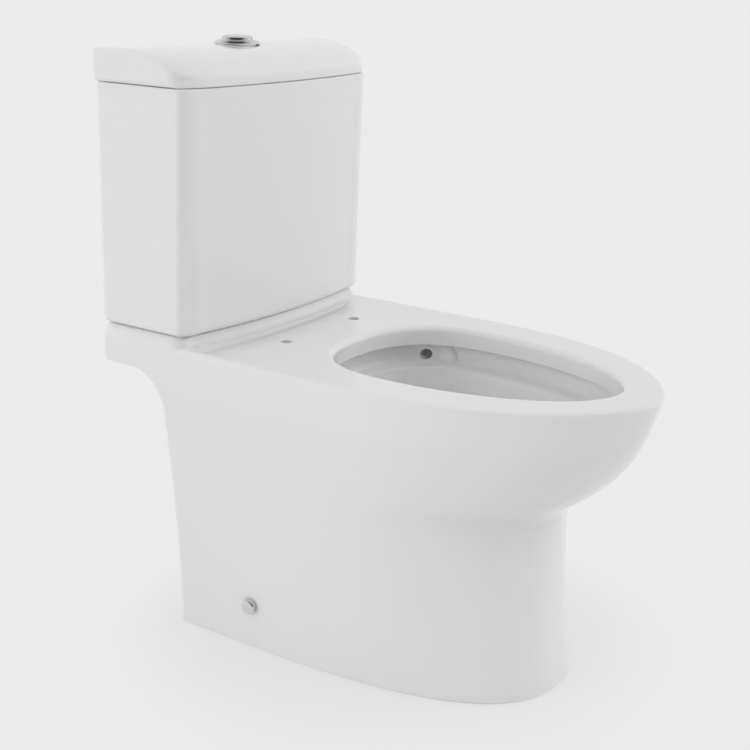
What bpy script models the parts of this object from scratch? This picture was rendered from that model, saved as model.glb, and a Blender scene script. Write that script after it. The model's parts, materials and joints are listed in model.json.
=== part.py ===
"""A close coupled toilet: skirted pan, cistern, lid, dual flush works, fill valve and fixings.

Metres, +Z up. The front of the bowl faces -Y and the wall side is +Y. The origin is on the floor,
midway between the front of the rim and the back of the deck.
"""

from math import cos, pi, sin, sqrt, tau

import bmesh
import bpy
from mathutils import Matrix, Vector

# ---- driving sizes ----------------------------------------------------------------------------
RIM_HEIGHT = 0.400          # floor to the flat top of the rim
PAN_WIDTH = 0.382           # across the rim and the deck
DEPTH = 0.693               # front of the rim to the back of the deck
CISTERN_HEIGHT = 0.305      # underside of the cistern to its top edge
LID_HEIGHT = 0.0408         # lid edge to crown

GAP = 0.0004                # between pieces that touch
THREAD_GAP = 0.0003         # between a thread and its nut
FRONT, REAR = -DEPTH / 2, DEPTH / 2
PAN_HALF = PAN_WIDTH / 2

# pan, outside
FOOT_TAPER = 0.036          # how much each side leans in from the deck to the floor
FOOT_ROUND = 0.004
BASE_SETBACK = 0.1013       # rim front to foot front
NECK_SETBACK = 0.1197       # rim front to the waist under the bowl
NECK_HEIGHT = 0.2335
NECK_FILLET = 0.022         # blend between the waist and the bowl
OVERHANG = 0.096            # deck beyond the pedestal's back
DECK_THICK = 0.037
OVERHANG_FILLET = 0.048
RIM_ROUND = 0.0066
PAN_CORNER = 0.008
WALL = 0.012                # ceramic wall
RIM_PLATE = 0.014           # top of the rim over its hollow

# pan, bowl
RIM_SIDE_LAND = 0.066       # rim top from the side to the opening
RIM_FRONT_LAND = 0.053
OPENING_TO_BACK = 0.273     # back of the opening to the back of the deck
LIP_HEIGHT = 0.026          # inner wall of the rim
LIP_UNDERCUT = 0.013
LIP_ROUND = 0.008
SHELF_DEPTH = 0.057         # rim top to the shelf inside the bowl
SUMP_HEIGHT = 0.112
OUTLET_R = 0.0075           # the two water outlets under the lip

# trap and waste spigot
TRAP_R = 0.038
TRAP_WALL = 0.011
SPIGOT_HEIGHT = 0.185
SPIGOT_REACH = 0.046        # beyond the pedestal's back

# deck, plinth and holes
PLINTH_HEIGHT = 0.013
PLINTH_INSET = 0.010        # plinth edge inside the cistern's side
PLINTH_REAR_INSET = 0.0045  # plinth edge inside the cistern's back
SEAT_HOLE_SPACING = 0.150
SEAT_HOLE_TO_BACK = 0.2125
SEAT_HOLE_R = 0.0075
DECK_PLATE = 0.048          # deck thickness above the hollow of the skirt

# cistern
CISTERN_WALL = 0.011
CISTERN_FLOOR = 0.015
CISTERN_DEPTH = 0.1565      # at its foot, middle of the front to the back
CISTERN_LEAN = 0.006        # how far the front comes forward at the top
CISTERN_BOW = 0.018         # crown of the front face
CISTERN_CORNER = 0.028      # along the front
CISTERN_CORNER_DEPTH = 0.015  # along the sides
CISTERN_BACK = 0.0005       # back of the cistern inside the back of the deck
CISTERN_BACK_CORNER = 0.010
CISTERN_EDGE = 0.008
SEAT_GAP = 0.0012           # cistern above the plinth, lid above the cistern

# lid
LID_OVERHANG = 0.0033       # beyond the cistern's sides
LID_PROUD = 0.0010          # beyond the cistern's front
LID_CORNER = 0.030
LID_CORNER_DEPTH = 0.016
LID_ROLL = 0.095            # front edge to the crown
LID_EDGE = 0.0095           # upright part of the lid's front edge
LID_REAR_EDGE = 0.006       # rounding of the lid's sides and back
LID_WALL = 0.010
LID_RIB = 0.008
LID_RIB_WALL = 0.008
LID_RIB_GAP = 0.0022        # rib inside the cistern's wall

# push button
BUTTON_TO_BACK = 0.070
BEZEL_LAND = 0.0062         # bezel beyond its bore
BEZEL_HEIGHT = 0.0036
DOME_R = 0.0236
DOME_RISE = 0.0113
BUTTON_SPLIT = 0.006        # the slot between the two buttons, from the middle
BARREL_WALL = 0.0017
BARREL_DEPTH = 0.028
RUN = 0.0007                # running clearance of the buttons
LOCK_NUT_WALL = 0.007
ROD_R = 0.0025              # push rods
ROD_TO_BUTTON = 0.0105      # push rods behind the button's axis
SKIRT_DEPTH = 0.006         # foot of the buttons below the lid's crown

# flush valve
VALVE_TO_FRONT = 0.059      # valve axis behind the front of the cistern's foot
CAGE_BEYOND_TAIL = 0.003    # cage outside, beyond the threaded tail
TUBE_R = 0.014
LEVER_ARM = 0.012
LEVER_X = (-0.0085, 0.0115)  # full flush, half flush
TAIL_R = 0.027
TAIL_WALL = 0.006
PIN_R = 0.0018
LEVER_THICK = 0.005

# fill valve, bolts and fixings
FILL_TO_WALL = 0.055        # fill valve axis from the cistern's inner side
FILL_TO_BACK = 0.055
SHANK_R = 0.0104
FLOAT_ARM = 0.015
BOLT_X, BOLT_TO_BACK, BOLT_R = 0.080, 0.037, 0.0038
CAP_R = 0.0102
FIX_TO_BACK, FIX_HEIGHT = 0.2205, 0.062

# ---- places worked out from the sizes ----------------------------------------------------------
PEDESTAL_BACK = REAR - OVERHANG
DECK_TOP = RIM_HEIGHT + PLINTH_HEIGHT
CISTERN_FOOT = DECK_TOP + SEAT_GAP
CISTERN_TOP = CISTERN_FOOT + CISTERN_HEIGHT
CISTERN_HALF = PAN_HALF
CISTERN_REAR = REAR - CISTERN_BACK
CISTERN_FRONT = CISTERN_REAR - CISTERN_DEPTH
INSIDE_FLOOR = CISTERN_FOOT + CISTERN_FLOOR
LID_FOOT = CISTERN_TOP + SEAT_GAP
LID_CROWN = LID_FOOT + LID_HEIGHT
LID_CEILING = LID_CROWN - LID_WALL - 0.0022
BUTTON = Vector((0.0, REAR - BUTTON_TO_BACK, LID_CROWN))
BUTTON_BORE = DOME_R + RUN
BARREL_R = BUTTON_BORE + BARREL_WALL
LOCK_NUT_R = BARREL_R + LOCK_NUT_WALL
VALVE = Vector((0.0, CISTERN_FRONT + VALVE_TO_FRONT, INSIDE_FLOOR))
VALVE_R = TAIL_R + CAGE_BEYOND_TAIL
PIVOT = Vector((0.0, BUTTON.y + ROD_TO_BUTTON - LEVER_ARM, CISTERN_TOP - 0.051))
FILL = Vector((CISTERN_HALF - CISTERN_WALL - FILL_TO_WALL, REAR - FILL_TO_BACK, INSIDE_FLOOR))
OPENING_HALF = PAN_HALF - RIM_SIDE_LAND
OPENING_FRONT = FRONT + RIM_FRONT_LAND
OPENING_REAR = REAR - OPENING_TO_BACK
OPENING_MID = OPENING_REAR - (OPENING_REAR - OPENING_FRONT) / 3
BOLT_Y = REAR - BOLT_TO_BACK


# ---- materials ---------------------------------------------------------------------------------
def material(name, colour, roughness, metallic=0.0):
    made = bpy.data.materials.new(name)
    made.use_nodes = True
    shader = made.node_tree.nodes["Principled BSDF"]
    shader.inputs["Base Color"].default_value = (*colour, 1.0)
    shader.inputs["Roughness"].default_value = roughness
    shader.inputs["Metallic"].default_value = metallic
    made.diffuse_color = (*colour, 1.0)
    return made


# ---- modelling helpers -------------------------------------------------------------------------
def finish(name, bm, look, smooth=35):
    bmesh.ops.recalc_face_normals(bm, faces=bm.faces)
    mesh = bpy.data.meshes.new(name)
    bm.to_mesh(mesh)
    bm.free()
    mesh.shade_smooth()
    mesh.set_sharp_from_angle(angle=smooth * pi / 180)
    mesh.materials.append(look)
    made = bpy.data.objects.new(name, mesh)
    bpy.context.scene.collection.objects.link(made)
    return made


def loft(name, rings, look, smooth=35):
    """A closed skin through rings of as many points each, capped at both ends."""
    bm = bmesh.new()
    rows = [[bm.verts.new(point) for point in ring] for ring in rings]
    count = len(rows[0])
    for low, high in zip(rows, rows[1:]):
        for i in range(count):
            j = (i + 1) % count
            bm.faces.new((low[i], low[j], high[j], high[i]))
    bm.faces.new(rows[0])
    bm.faces.new(rows[-1])
    return finish(name, bm, look, smooth)


def turned(name, profile, look, place=(0, 0, 0), steps=20, axis="Z"):
    """A profile of (radius, height) points turned about an axis through place.
    The profile is a closed loop, and points at radius 0 close up on the axis."""
    bm = bmesh.new()
    points = [bm.verts.new((r, 0, z)) for r, z in profile]
    edges = []
    for i, point in enumerate(points):
        other = points[(i + 1) % len(points)]
        if point.co.x > 0 or other.co.x > 0:
            edges.append(bm.edges.new((point, other)))
    bmesh.ops.spin(bm, geom=points + edges, cent=(0, 0, 0), axis=(0, 0, 1), steps=steps, angle=tau)
    bmesh.ops.remove_doubles(bm, verts=bm.verts, dist=1e-6)
    turn = {"Z": Matrix(), "X": Matrix.Rotation(pi / 2, 4, "Y"), "Y": Matrix.Rotation(-pi / 2, 4, "X")}
    bmesh.ops.transform(bm, matrix=Matrix.Translation(place) @ turn[axis], verts=bm.verts)
    return finish(name, bm, look)


def ring_piece(name, inner, outer, low, high, look, place, steps=20, edge=0.0):
    """A washer or tube, with its outer edges eased by edge."""
    profile = [(inner, low), (inner, high), (outer - edge, high), (outer, high - edge), (outer, low + edge),
               (outer - edge, low)]
    if not edge:
        profile = [(inner, low), (inner, high), (outer, high), (outer, low)]
    return turned(name, profile, look, place, steps)


def nut(name, bore, across, low, high, look, place, steps, sides=6):
    """A nut with flat sides, whose hole has as many steps as the thread it runs on."""
    reach = across / 2 / cos(pi / sides)
    outline = [(reach * cos(tau * i / sides), reach * sin(tau * i / sides)) for i in range(sides)]
    made = loft(name, [[(place[0] + x, place[1] + y, z) for x, y in outline] for z in (low, high)], look)
    return drill(made, place, bore, low - 0.01, high + 0.01, steps)


def block(name, low, high, look, edge=0.0):
    bm = bmesh.new()
    size = Vector(high) - Vector(low)
    middle = (Vector(high) + Vector(low)) / 2
    bmesh.ops.create_cube(bm, size=1.0, matrix=Matrix.Translation(middle) @ Matrix.Diagonal((*size, 1)))
    if edge:
        bmesh.ops.bevel(bm, geom=bm.edges[:], offset=edge, segments=1, affect="EDGES")
    return finish(name, bm, look)


def tube_along(name, points, radius, look, resolution=2):
    """A solid round bar along points."""
    curve = bpy.data.curves.new(name, "CURVE")
    curve.dimensions = "3D"
    curve.bevel_depth = radius
    curve.bevel_resolution = resolution
    curve.use_fill_caps = True
    spline = curve.splines.new("POLY")
    spline.points.add(len(points) - 1)
    for target, point in zip(spline.points, points):
        target.co = (*point, 1.0)
    shape = bpy.data.objects.new(name, curve)
    bpy.context.scene.collection.objects.link(shape)
    bpy.context.view_layer.update()
    mesh = bpy.data.meshes.new_from_object(shape.evaluated_get(bpy.context.evaluated_depsgraph_get()))
    bpy.data.objects.remove(shape)
    bm = bmesh.new()
    bm.from_mesh(mesh)
    bmesh.ops.remove_doubles(bm, verts=bm.verts, dist=1e-6)
    return finish(name, bm, look)


def combine(target, tool, operation):
    """Applies a Boolean to target and removes the tool."""
    change = target.modifiers.new(operation.lower(), "BOOLEAN")
    change.operation, change.object, change.solver = operation, tool, "EXACT"
    bpy.context.view_layer.update()
    mesh = bpy.data.meshes.new_from_object(target.evaluated_get(bpy.context.evaluated_depsgraph_get()))
    bm = bmesh.new()
    bm.from_mesh(mesh)
    bmesh.ops.remove_doubles(bm, verts=bm.verts, dist=2e-6)
    bmesh.ops.triangulate(bm, faces=[face for face in bm.faces if len(face.verts) > 4])
    bm.to_mesh(mesh)
    bm.free()
    target.modifiers.clear()
    target.data = mesh
    bpy.data.objects.remove(tool)
    return target


def drill(target, place, radius, low, high, steps=20, axis="Z"):
    """Cuts a round hole along an axis, from low to high along it."""
    bar = turned("drill", [(0, low), (radius, low), (radius, high), (0, high)], target.data.materials[0],
                 place, steps, axis)
    return combine(target, bar, "DIFFERENCE")


def smooth_path(points, between=4):
    """A Catmull-Rom curve through points."""
    points = [Vector(p) for p in points]
    ends = [points[0] * 2 - points[1], *points, points[-1] * 2 - points[-2]]
    found = []
    for a, b, c, d in zip(ends, ends[1:], ends[2:], ends[3:]):
        for step in range(between):
            t = step / between
            found.append(0.5 * (2 * b + (c - a) * t + (2 * a - 5 * b + 4 * c - d) * t * t
                                + (3 * b - a - 3 * c + d) * t ** 3))
    return [*found, points[-1]]


# ---- pan ---------------------------------------------------------------------------------------
def ease(t):
    t = min(max(t, 0.0), 1.0)
    return t * t * (3 - 2 * t)


def pan_section(z):
    """The outer section at a height: half width, front, back, where the front curve starts, its shape."""
    deck_foot = RIM_HEIGHT - DECK_THICK
    flare = min(z / (RIM_HEIGHT - 0.055), 1.0) ** 1.6
    half = PAN_HALF - FOOT_TAPER * (1 - flare)
    foot = max(1 - z / (NECK_HEIGHT - 0.021), 0.0) ** 1.6
    waist = NECK_SETBACK - (NECK_SETBACK - BASE_SETBACK) * foot
    under = max(RIM_HEIGHT - RIM_ROUND - z, 0.0) / (RIM_HEIGHT - RIM_ROUND - NECK_HEIGHT)
    bowl = NECK_SETBACK * (0.39 * under + 0.61 * under ** 3.13)
    blend = max(NECK_FILLET - abs(waist - bowl), 0.0)
    front = FRONT + min(waist, bowl) - blend * blend / (4 * NECK_FILLET)
    back = PEDESTAL_BACK
    fillet_foot = deck_foot - OVERHANG_FILLET
    if z > fillet_foot:
        rise = min((z - fillet_foot) / OVERHANG_FILLET, 1.0)
        back += OVERHANG_FILLET * (1 - sqrt(1 - rise * rise))
    mix = ease(z / RIM_HEIGHT)
    start = REAR - 0.227 - 0.090 * mix
    return half, front, back, start, 2.5 + 0.3 * mix, 2.5 - 0.85 * mix


def pan_ring(z, half, front, back, start, power_y, power_x, inset=0.0, corner=PAN_CORNER):
    """One outline: a flat back, straight sides and a full round front."""
    half, front, back = half - inset, front + inset, back - inset
    corner = max(corner - inset, 0.002)
    right = []
    curve, side = 15, 3
    for i in range(curve):
        angle = pi / 2 * (1 - i / curve)
        right.append((half * cos(angle) ** (2 / power_x),
                      start - (start - front) * sin(angle) ** (2 / power_y)))
    for i in range(side):
        right.append((half, start + (back - corner - start) * i / side))
    for i in range(5):
        angle = pi / 2 * i / 4
        right.append((half - corner + corner * cos(angle), back - corner + corner * sin(angle)))
    right.append((half / 2, back))
    right[0] = (0.0, front)
    left = [(-x, y) for x, y in reversed(right[1:])]
    return [(x, y, z) for x, y in right] + [(0.0, back, z)] + [(x, y, z) for x, y in left]


def oval_ring(z, half, front, back, middle, look_front=2.0, look_back=2.4, count=44):
    """A bowl outline: a long front and a squarer back, either side of middle."""
    ring = []
    for i in range(count):
        angle = tau * i / count
        c, s = cos(angle), sin(angle)
        reach, power = (back - middle, look_back) if s > 0 else (middle - front, look_front)
        x = half * abs(c) ** (2 / power) * (1 if c > 0 else -1)
        y = middle + reach * abs(s) ** (2 / power) * (1 if s > 0 else -1)
        ring.append((x, y, z))
    return ring


def bowl_levels():
    """The inside of the bowl from the rim down: height, half width, front, back."""
    half, front, back = OPENING_HALF, OPENING_FRONT, OPENING_REAR
    lip_foot = RIM_HEIGHT - LIP_HEIGHT
    shelf = RIM_HEIGHT - SHELF_DEPTH
    levels = [(RIM_HEIGHT + 0.0015, LIP_ROUND + 0.0015), (RIM_HEIGHT - 0.0007, LIP_ROUND * 0.62),
              (RIM_HEIGHT - LIP_ROUND * 0.33, LIP_ROUND * 0.26), (RIM_HEIGHT - LIP_ROUND, 0.0),
              (lip_foot + 0.0006, 0.0), (lip_foot, LIP_UNDERCUT), (shelf + 0.015, LIP_UNDERCUT),
              (shelf + 0.005, LIP_UNDERCUT - 0.004), (shelf, -0.002)]
    rings = [(z, half + out, front - out, back + out) for z, out in levels]
    drop = shelf - SUMP_HEIGHT
    for share, narrow, short, near in ((0.06, 0.05, 0.03, 0.05), (0.22, 0.13, 0.10, 0.13),
                                       (0.42, 0.25, 0.25, 0.25), (0.62, 0.40, 0.43, 0.40),
                                       (0.80, 0.55, 0.60, 0.53), (0.93, 0.67, 0.72, 0.64),
                                       (1.00, 0.76, 0.80, 0.72)):
        rings.append((shelf - drop * share, (half - 0.002) * (1 - narrow),
                      front + (OPENING_MID - front) * short, back - (back - OPENING_MID) * near))
    return rings


def make_pan(look):
    deck_foot = RIM_HEIGHT - DECK_THICK
    fillet_foot = deck_foot - OVERHANG_FILLET
    heights = [NECK_HEIGHT * share for share in (0.16, 0.34, 0.52, 0.70, 0.86, 0.95, 1.0)]
    heights += [NECK_HEIGHT + (fillet_foot - NECK_HEIGHT) * share
                for share in (0.08, 0.22, 0.42, 0.66, 0.88)]
    heights += [fillet_foot + OVERHANG_FILLET * share for share in (0.14, 0.36, 0.60, 0.80, 0.92, 0.98)]
    rings = [pan_ring(0.0, *pan_section(0.0), inset=FOOT_ROUND), pan_ring(0.005, *pan_section(0.005))]
    rings += [pan_ring(z, *pan_section(z)) for z in heights]
    for rise, out in ((0.0, 0.0), (0.0004, OVERHANG - OVERHANG_FILLET - 0.008),
                      (0.0028, OVERHANG - OVERHANG_FILLET - 0.0023), (0.008, OVERHANG - OVERHANG_FILLET)):
        section = list(pan_section(deck_foot + rise))
        section[2] = PEDESTAL_BACK + OVERHANG_FILLET + out
        rings.append(pan_ring(deck_foot + rise, *section))
    for turn in (0.0, 0.33, 0.67, 1.0):
        angle = pi / 2 * turn
        z = RIM_HEIGHT - RIM_ROUND * (1 - sin(angle))
        section = list(pan_section(z))
        section[2] = REAR
        rings.append(pan_ring(z, *section, inset=RIM_ROUND * (1 - cos(angle))))
    pan = loft("pan", rings, look)

    # the raised seat under the cistern
    plinth = []
    for z, spread in ((RIM_HEIGHT - 0.006, 0.003), (RIM_HEIGHT + 0.003, 0.002), (DECK_TOP - 0.002, 0.0),
                      (DECK_TOP, -0.002)):
        plinth.append(cistern_ring(z, PLINTH_INSET - spread, PLINTH_REAR_INSET - min(spread, 0.0)))
    combine(pan, loft("plinth", plinth, look), "UNION")

    # the hollow inside the skirt, open to the floor, and the hollow of the rim above it
    top = RIM_HEIGHT - SHELF_DEPTH - 0.005
    levels = [-0.002, 0.06, 0.13, 0.19, NECK_HEIGHT]
    levels += [NECK_HEIGHT + (top - NECK_HEIGHT) * share for share in (0.25, 0.52, 0.80, 1.0)]
    hollow = []
    for z in levels:
        section = list(pan_section(max(z, 0.0)))
        section[2] = PEDESTAL_BACK
        hollow.append(pan_ring(z, *section, inset=WALL))
    combine(pan, loft("hollow", hollow, look), "DIFFERENCE")
    side = PAN_HALF - FOOT_TAPER - WALL
    combine(pan, block("hollow_back", (-side, OPENING_REAR + LIP_UNDERCUT + WALL, top - 0.02),
                       (side, PEDESTAL_BACK - WALL - 0.001, RIM_HEIGHT - DECK_PLATE), look), "DIFFERENCE")
    channel = []
    for z in (top - 0.020, RIM_HEIGHT - RIM_PLATE):
        section = list(pan_section(z))
        section[1] = OPENING_FRONT + 0.030
        section[2] = OPENING_REAR - 0.048
        channel.append(pan_ring(z, *section, inset=WALL + 0.005))
    combine(pan, loft("rim_hollow", channel, look), "DIFFERENCE")

    # bowl skin, trap and waste spigot
    inside = bowl_levels()
    shelf = RIM_HEIGHT - SHELF_DEPTH
    around = LIP_UNDERCUT + WALL
    skin = [oval_ring(z, OPENING_HALF + around, OPENING_FRONT - around, OPENING_REAR + around, OPENING_MID,
                      count=32) for z in (RIM_HEIGHT - RIM_PLATE + 0.004, shelf + 0.004)]
    skin += [oval_ring(z, half + WALL, front - WALL, back + WALL, OPENING_MID, count=32)
             for z, half, front, back in inside if z < shelf - 0.001]
    z, half, front, back = inside[-1]
    skin.append(oval_ring(z - WALL, half, front, back, OPENING_MID, count=32))
    combine(pan, loft("skin", skin, look), "UNION")
    sump_back = back
    spigot_end = PEDESTAL_BACK + SPIGOT_REACH
    run = spigot_end - sump_back
    route = smooth_path([(0, sump_back - 0.035, SUMP_HEIGHT + 0.020),
                         (0, sump_back + run * 0.10, SUMP_HEIGHT - 0.016),
                         (0, sump_back + run * 0.30, SUMP_HEIGHT + 0.004),
                         (0, sump_back + run * 0.46, SPIGOT_HEIGHT - 0.004),
                         (0, sump_back + run * 0.60, SPIGOT_HEIGHT + 0.026),
                         (0, sump_back + run * 0.76, SPIGOT_HEIGHT + 0.006),
                         (0, sump_back + run * 0.90, SPIGOT_HEIGHT)], 3)
    route.append(Vector((0, spigot_end, SPIGOT_HEIGHT)))
    combine(pan, tube_along("trap", route, TRAP_R + TRAP_WALL, look, 6), "UNION")
    combine(pan, loft("bowl", [oval_ring(z, h, f, b, OPENING_MID) for z, h, f, b in inside], look),
            "DIFFERENCE")
    inner_route = route[:-1] + [route[-1] + Vector((0, 0.01, 0))]
    combine(pan, tube_along("trap_bore", inner_route, TRAP_R, look, 6), "DIFFERENCE")

    # flush chamber in the deck, its inlet and the two outlets under the lip
    chamber_top = RIM_HEIGHT - 0.012
    combine(pan, block("chamber", (-0.045, OPENING_REAR + 0.043, chamber_top - 0.022),
                       (0.045, VALVE.y + 0.040, chamber_top), look), "DIFFERENCE")
    for side in (-1, 1):
        start = (side * 0.034, OPENING_REAR + 0.053, chamber_top - 0.011)
        end = (side * OPENING_HALF * 0.90, OPENING_REAR - 0.041, RIM_HEIGHT - 0.042)
        combine(pan, tube_along("duct", [start, end], OUTLET_R, look), "DIFFERENCE")
    recess = DECK_TOP - 0.012
    drill(pan, (0, VALVE.y, 0), TAIL_R + 0.017, recess, DECK_TOP + 0.01, 24)
    drill(pan, (0, VALVE.y, 0), TAIL_R + 0.007, chamber_top - 0.004, recess + 0.01, 24)
    for side in (-1, 1):
        drill(pan, (side * SEAT_HOLE_SPACING / 2, REAR - SEAT_HOLE_TO_BACK, 0), SEAT_HOLE_R,
              RIM_HEIGHT - DECK_PLATE - 0.01, RIM_HEIGHT + 0.01, 16)
        drill(pan, (side * BOLT_X, BOLT_Y, 0), BOLT_R + 0.003, deck_foot - 0.01, DECK_TOP + 0.01, 14)
        face = side_face(FIX_HEIGHT)
        drill(pan, (0, REAR - FIX_TO_BACK, FIX_HEIGHT), 0.004, side * face - 0.03, side * face + 0.03, 12,
              "X")
    drill(pan, (FILL.x, FILL.y, 0), SHANK_R + 0.0115, deck_foot - 0.02, DECK_TOP + 0.01, 20)
    return pan


def side_face(z):
    """Half the skirt's width at a height."""
    return pan_section(z)[0]


# ---- cistern and lid ---------------------------------------------------------------------------
def cistern_ring(z, inset=0.0, rear_inset=None):
    """The cistern's plan: bowed front, round front corners and squarer back ones."""
    share = (z - CISTERN_FOOT) / CISTERN_HEIGHT
    half = CISTERN_HALF - inset
    rear = CISTERN_REAR - (inset if rear_inset is None else rear_inset)
    front = CISTERN_FRONT - CISTERN_LEAN * min(max(share, 0.0), 1.0) + inset
    corner, deep = CISTERN_CORNER - inset, max(CISTERN_CORNER_DEPTH - inset, 0.004)
    back_corner = max(CISTERN_BACK_CORNER - inset, 0.003)
    right = []
    for i in range(6):
        x = (half - corner) * i / 5
        right.append((x, front + CISTERN_BOW * (x / CISTERN_HALF) ** 2))
    step = right[-1][1]
    for i in range(1, 6):
        angle = -pi / 2 + pi / 2 * i / 5
        right.append((half - corner + corner * cos(angle), step + deep + deep * sin(angle)))
    for i in range(4):
        angle = pi / 2 * i / 3
        right.append((half - back_corner + back_corner * cos(angle),
                      rear - back_corner + back_corner * sin(angle)))
    left = [(-x, y) for x, y in reversed(right[1:])]
    return [(x, y, z) for x, y in right] + [(0.0, rear, z)] + [(x, y, z) for x, y in left]


def make_cistern(look):
    rings = []
    for turn in (0.0, 0.35, 0.7, 1.0):
        angle = pi / 2 * turn
        rings.append(cistern_ring(CISTERN_FOOT + CISTERN_EDGE * (1 - cos(angle)),
                                  CISTERN_EDGE * (1 - sin(angle))))
    rings.append(cistern_ring((CISTERN_FOOT + CISTERN_TOP) / 2))
    for drop, inset in ((0.007, 0.0), (0.0025, 0.0014), (0.0, 0.005)):
        rings.append(cistern_ring(CISTERN_TOP - drop, inset))
    cistern = loft("cistern", rings, look)
    inner = [cistern_ring(INSIDE_FLOOR, CISTERN_WALL + 0.006),
             cistern_ring(INSIDE_FLOOR + 0.008, CISTERN_WALL),
             cistern_ring(CISTERN_TOP + 0.01, CISTERN_WALL)]
    combine(cistern, loft("inner", inner, look), "DIFFERENCE")
    drill(cistern, (VALVE.x, VALVE.y, 0), TAIL_R + 0.0012, CISTERN_FOOT - 0.01, INSIDE_FLOOR + 0.01, 24)
    drill(cistern, (FILL.x, FILL.y, 0), SHANK_R + 0.0012, CISTERN_FOOT - 0.01, INSIDE_FLOOR + 0.01, 16)
    for side in (-1, 1):
        drill(cistern, (side * BOLT_X, BOLT_Y, 0), BOLT_R + 0.002, CISTERN_FOOT - 0.01, INSIDE_FLOOR + 0.01,
              14)
    return cistern


def lid_front(x):
    """The lid's front edge at x: a shallow bow with round corners."""
    half = CISTERN_HALF + LID_OVERHANG
    front = CISTERN_FRONT - CISTERN_LEAN - LID_PROUD + CISTERN_BOW * (x / half) ** 2
    into = abs(x) - (half - LID_CORNER)
    if into > 0:
        front += LID_CORNER_DEPTH * (1 - sqrt(max(1 - (into / LID_CORNER) ** 2, 0.0)))
    return front


def lid_rise(back):
    """The lid's height above its foot, this far behind its front edge."""
    share = min(max(back / LID_ROLL, 0.0), 1.0)
    return LID_EDGE + (LID_HEIGHT - LID_EDGE) * sqrt(1 - (1 - share) ** 2.2)


def lid_section(x, inset):
    """The lid's outline in the Y-Z plane at x: an upright front edge that rolls over to a flat crown."""
    front, back, foot = lid_front(x) + inset, REAR - inset, LID_FOOT + inset * 0.8
    crown = LID_CROWN - inset
    ease_low, edge = 0.004, LID_REAR_EDGE
    points = [(front + ease_low, foot), (front + ease_low * 0.3, foot + ease_low * 0.3),
              (front, foot + ease_low)]
    for i in range(10):
        share = (i / 9) ** 2
        points.append((front + LID_ROLL * share, LID_FOOT + lid_rise(LID_ROLL * share) - inset * (i / 9)))
    points += [(back - 0.035, crown - 0.0002), (back - 0.004, crown - 0.0010),
               (back - 0.0012, crown - 0.0019), (back, crown - 0.0045), (back, foot + edge),
               (back - edge * 0.29, foot + edge * 0.29), (back - edge, foot)]
    return [(x, y, z) for y, z in points]


def make_lid(look):
    half = CISTERN_HALF + LID_OVERHANG
    edge = LID_REAR_EDGE
    right = [(half, edge), (half - edge * 0.08, edge * 0.62), (half - edge * 0.30, edge * 0.30),
             (half - edge * 0.6, edge * 0.08), (half - edge, 0.0), (half - edge * 2, 0.0),
             (half - edge * 3.5, 0.0), (half - LID_CORNER, 0.0), (half * 0.6, 0.0), (half * 0.3, 0.0)]
    places = [(-x, inset) for x, inset in right] + [(0.0, 0.0)] + list(reversed(right))
    lid = loft("cistern_lid", [lid_section(x, inset) for x, inset in places], look)

    # the rib that locates the lid inside the cistern
    rib_out = CISTERN_WALL + LID_RIB_GAP
    rib = [cistern_ring(z, rib_out) for z in (CISTERN_TOP - LID_RIB, LID_FOOT + 0.006)]
    combine(lid, loft("rib", rib, look), "UNION")

    # the hollow follows the roll of the front edge, and is flat over the lock nut
    inside = rib_out + LID_RIB_WALL
    hollow = [cistern_ring(z, inside) for z in (CISTERN_TOP - LID_RIB - 0.005, LID_FOOT + 0.003)]
    plan = cistern_ring(LID_FOOT, inside)
    nearest = min(y for _, y, _ in plan)
    flat_from = BUTTON.y - LOCK_NUT_R - 0.002
    for share in (0.0, 0.30, 0.65, 1.0):
        limit = nearest + (flat_from - nearest) * share
        ceiling = LID_FOOT + lid_rise(limit - lid_front(0.0)) - LID_WALL
        z = LID_CEILING if share == 1.0 else min(ceiling, LID_CEILING - 0.001)
        hollow.append([(x, max(y, limit), z) for x, y, _ in plan])
    combine(lid, loft("lid_hollow", hollow, look), "DIFFERENCE")
    return drill(lid, (BUTTON.x, BUTTON.y, 0), BARREL_R + 0.0012, LID_FOOT, LID_CROWN + 0.01, 24)


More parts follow.
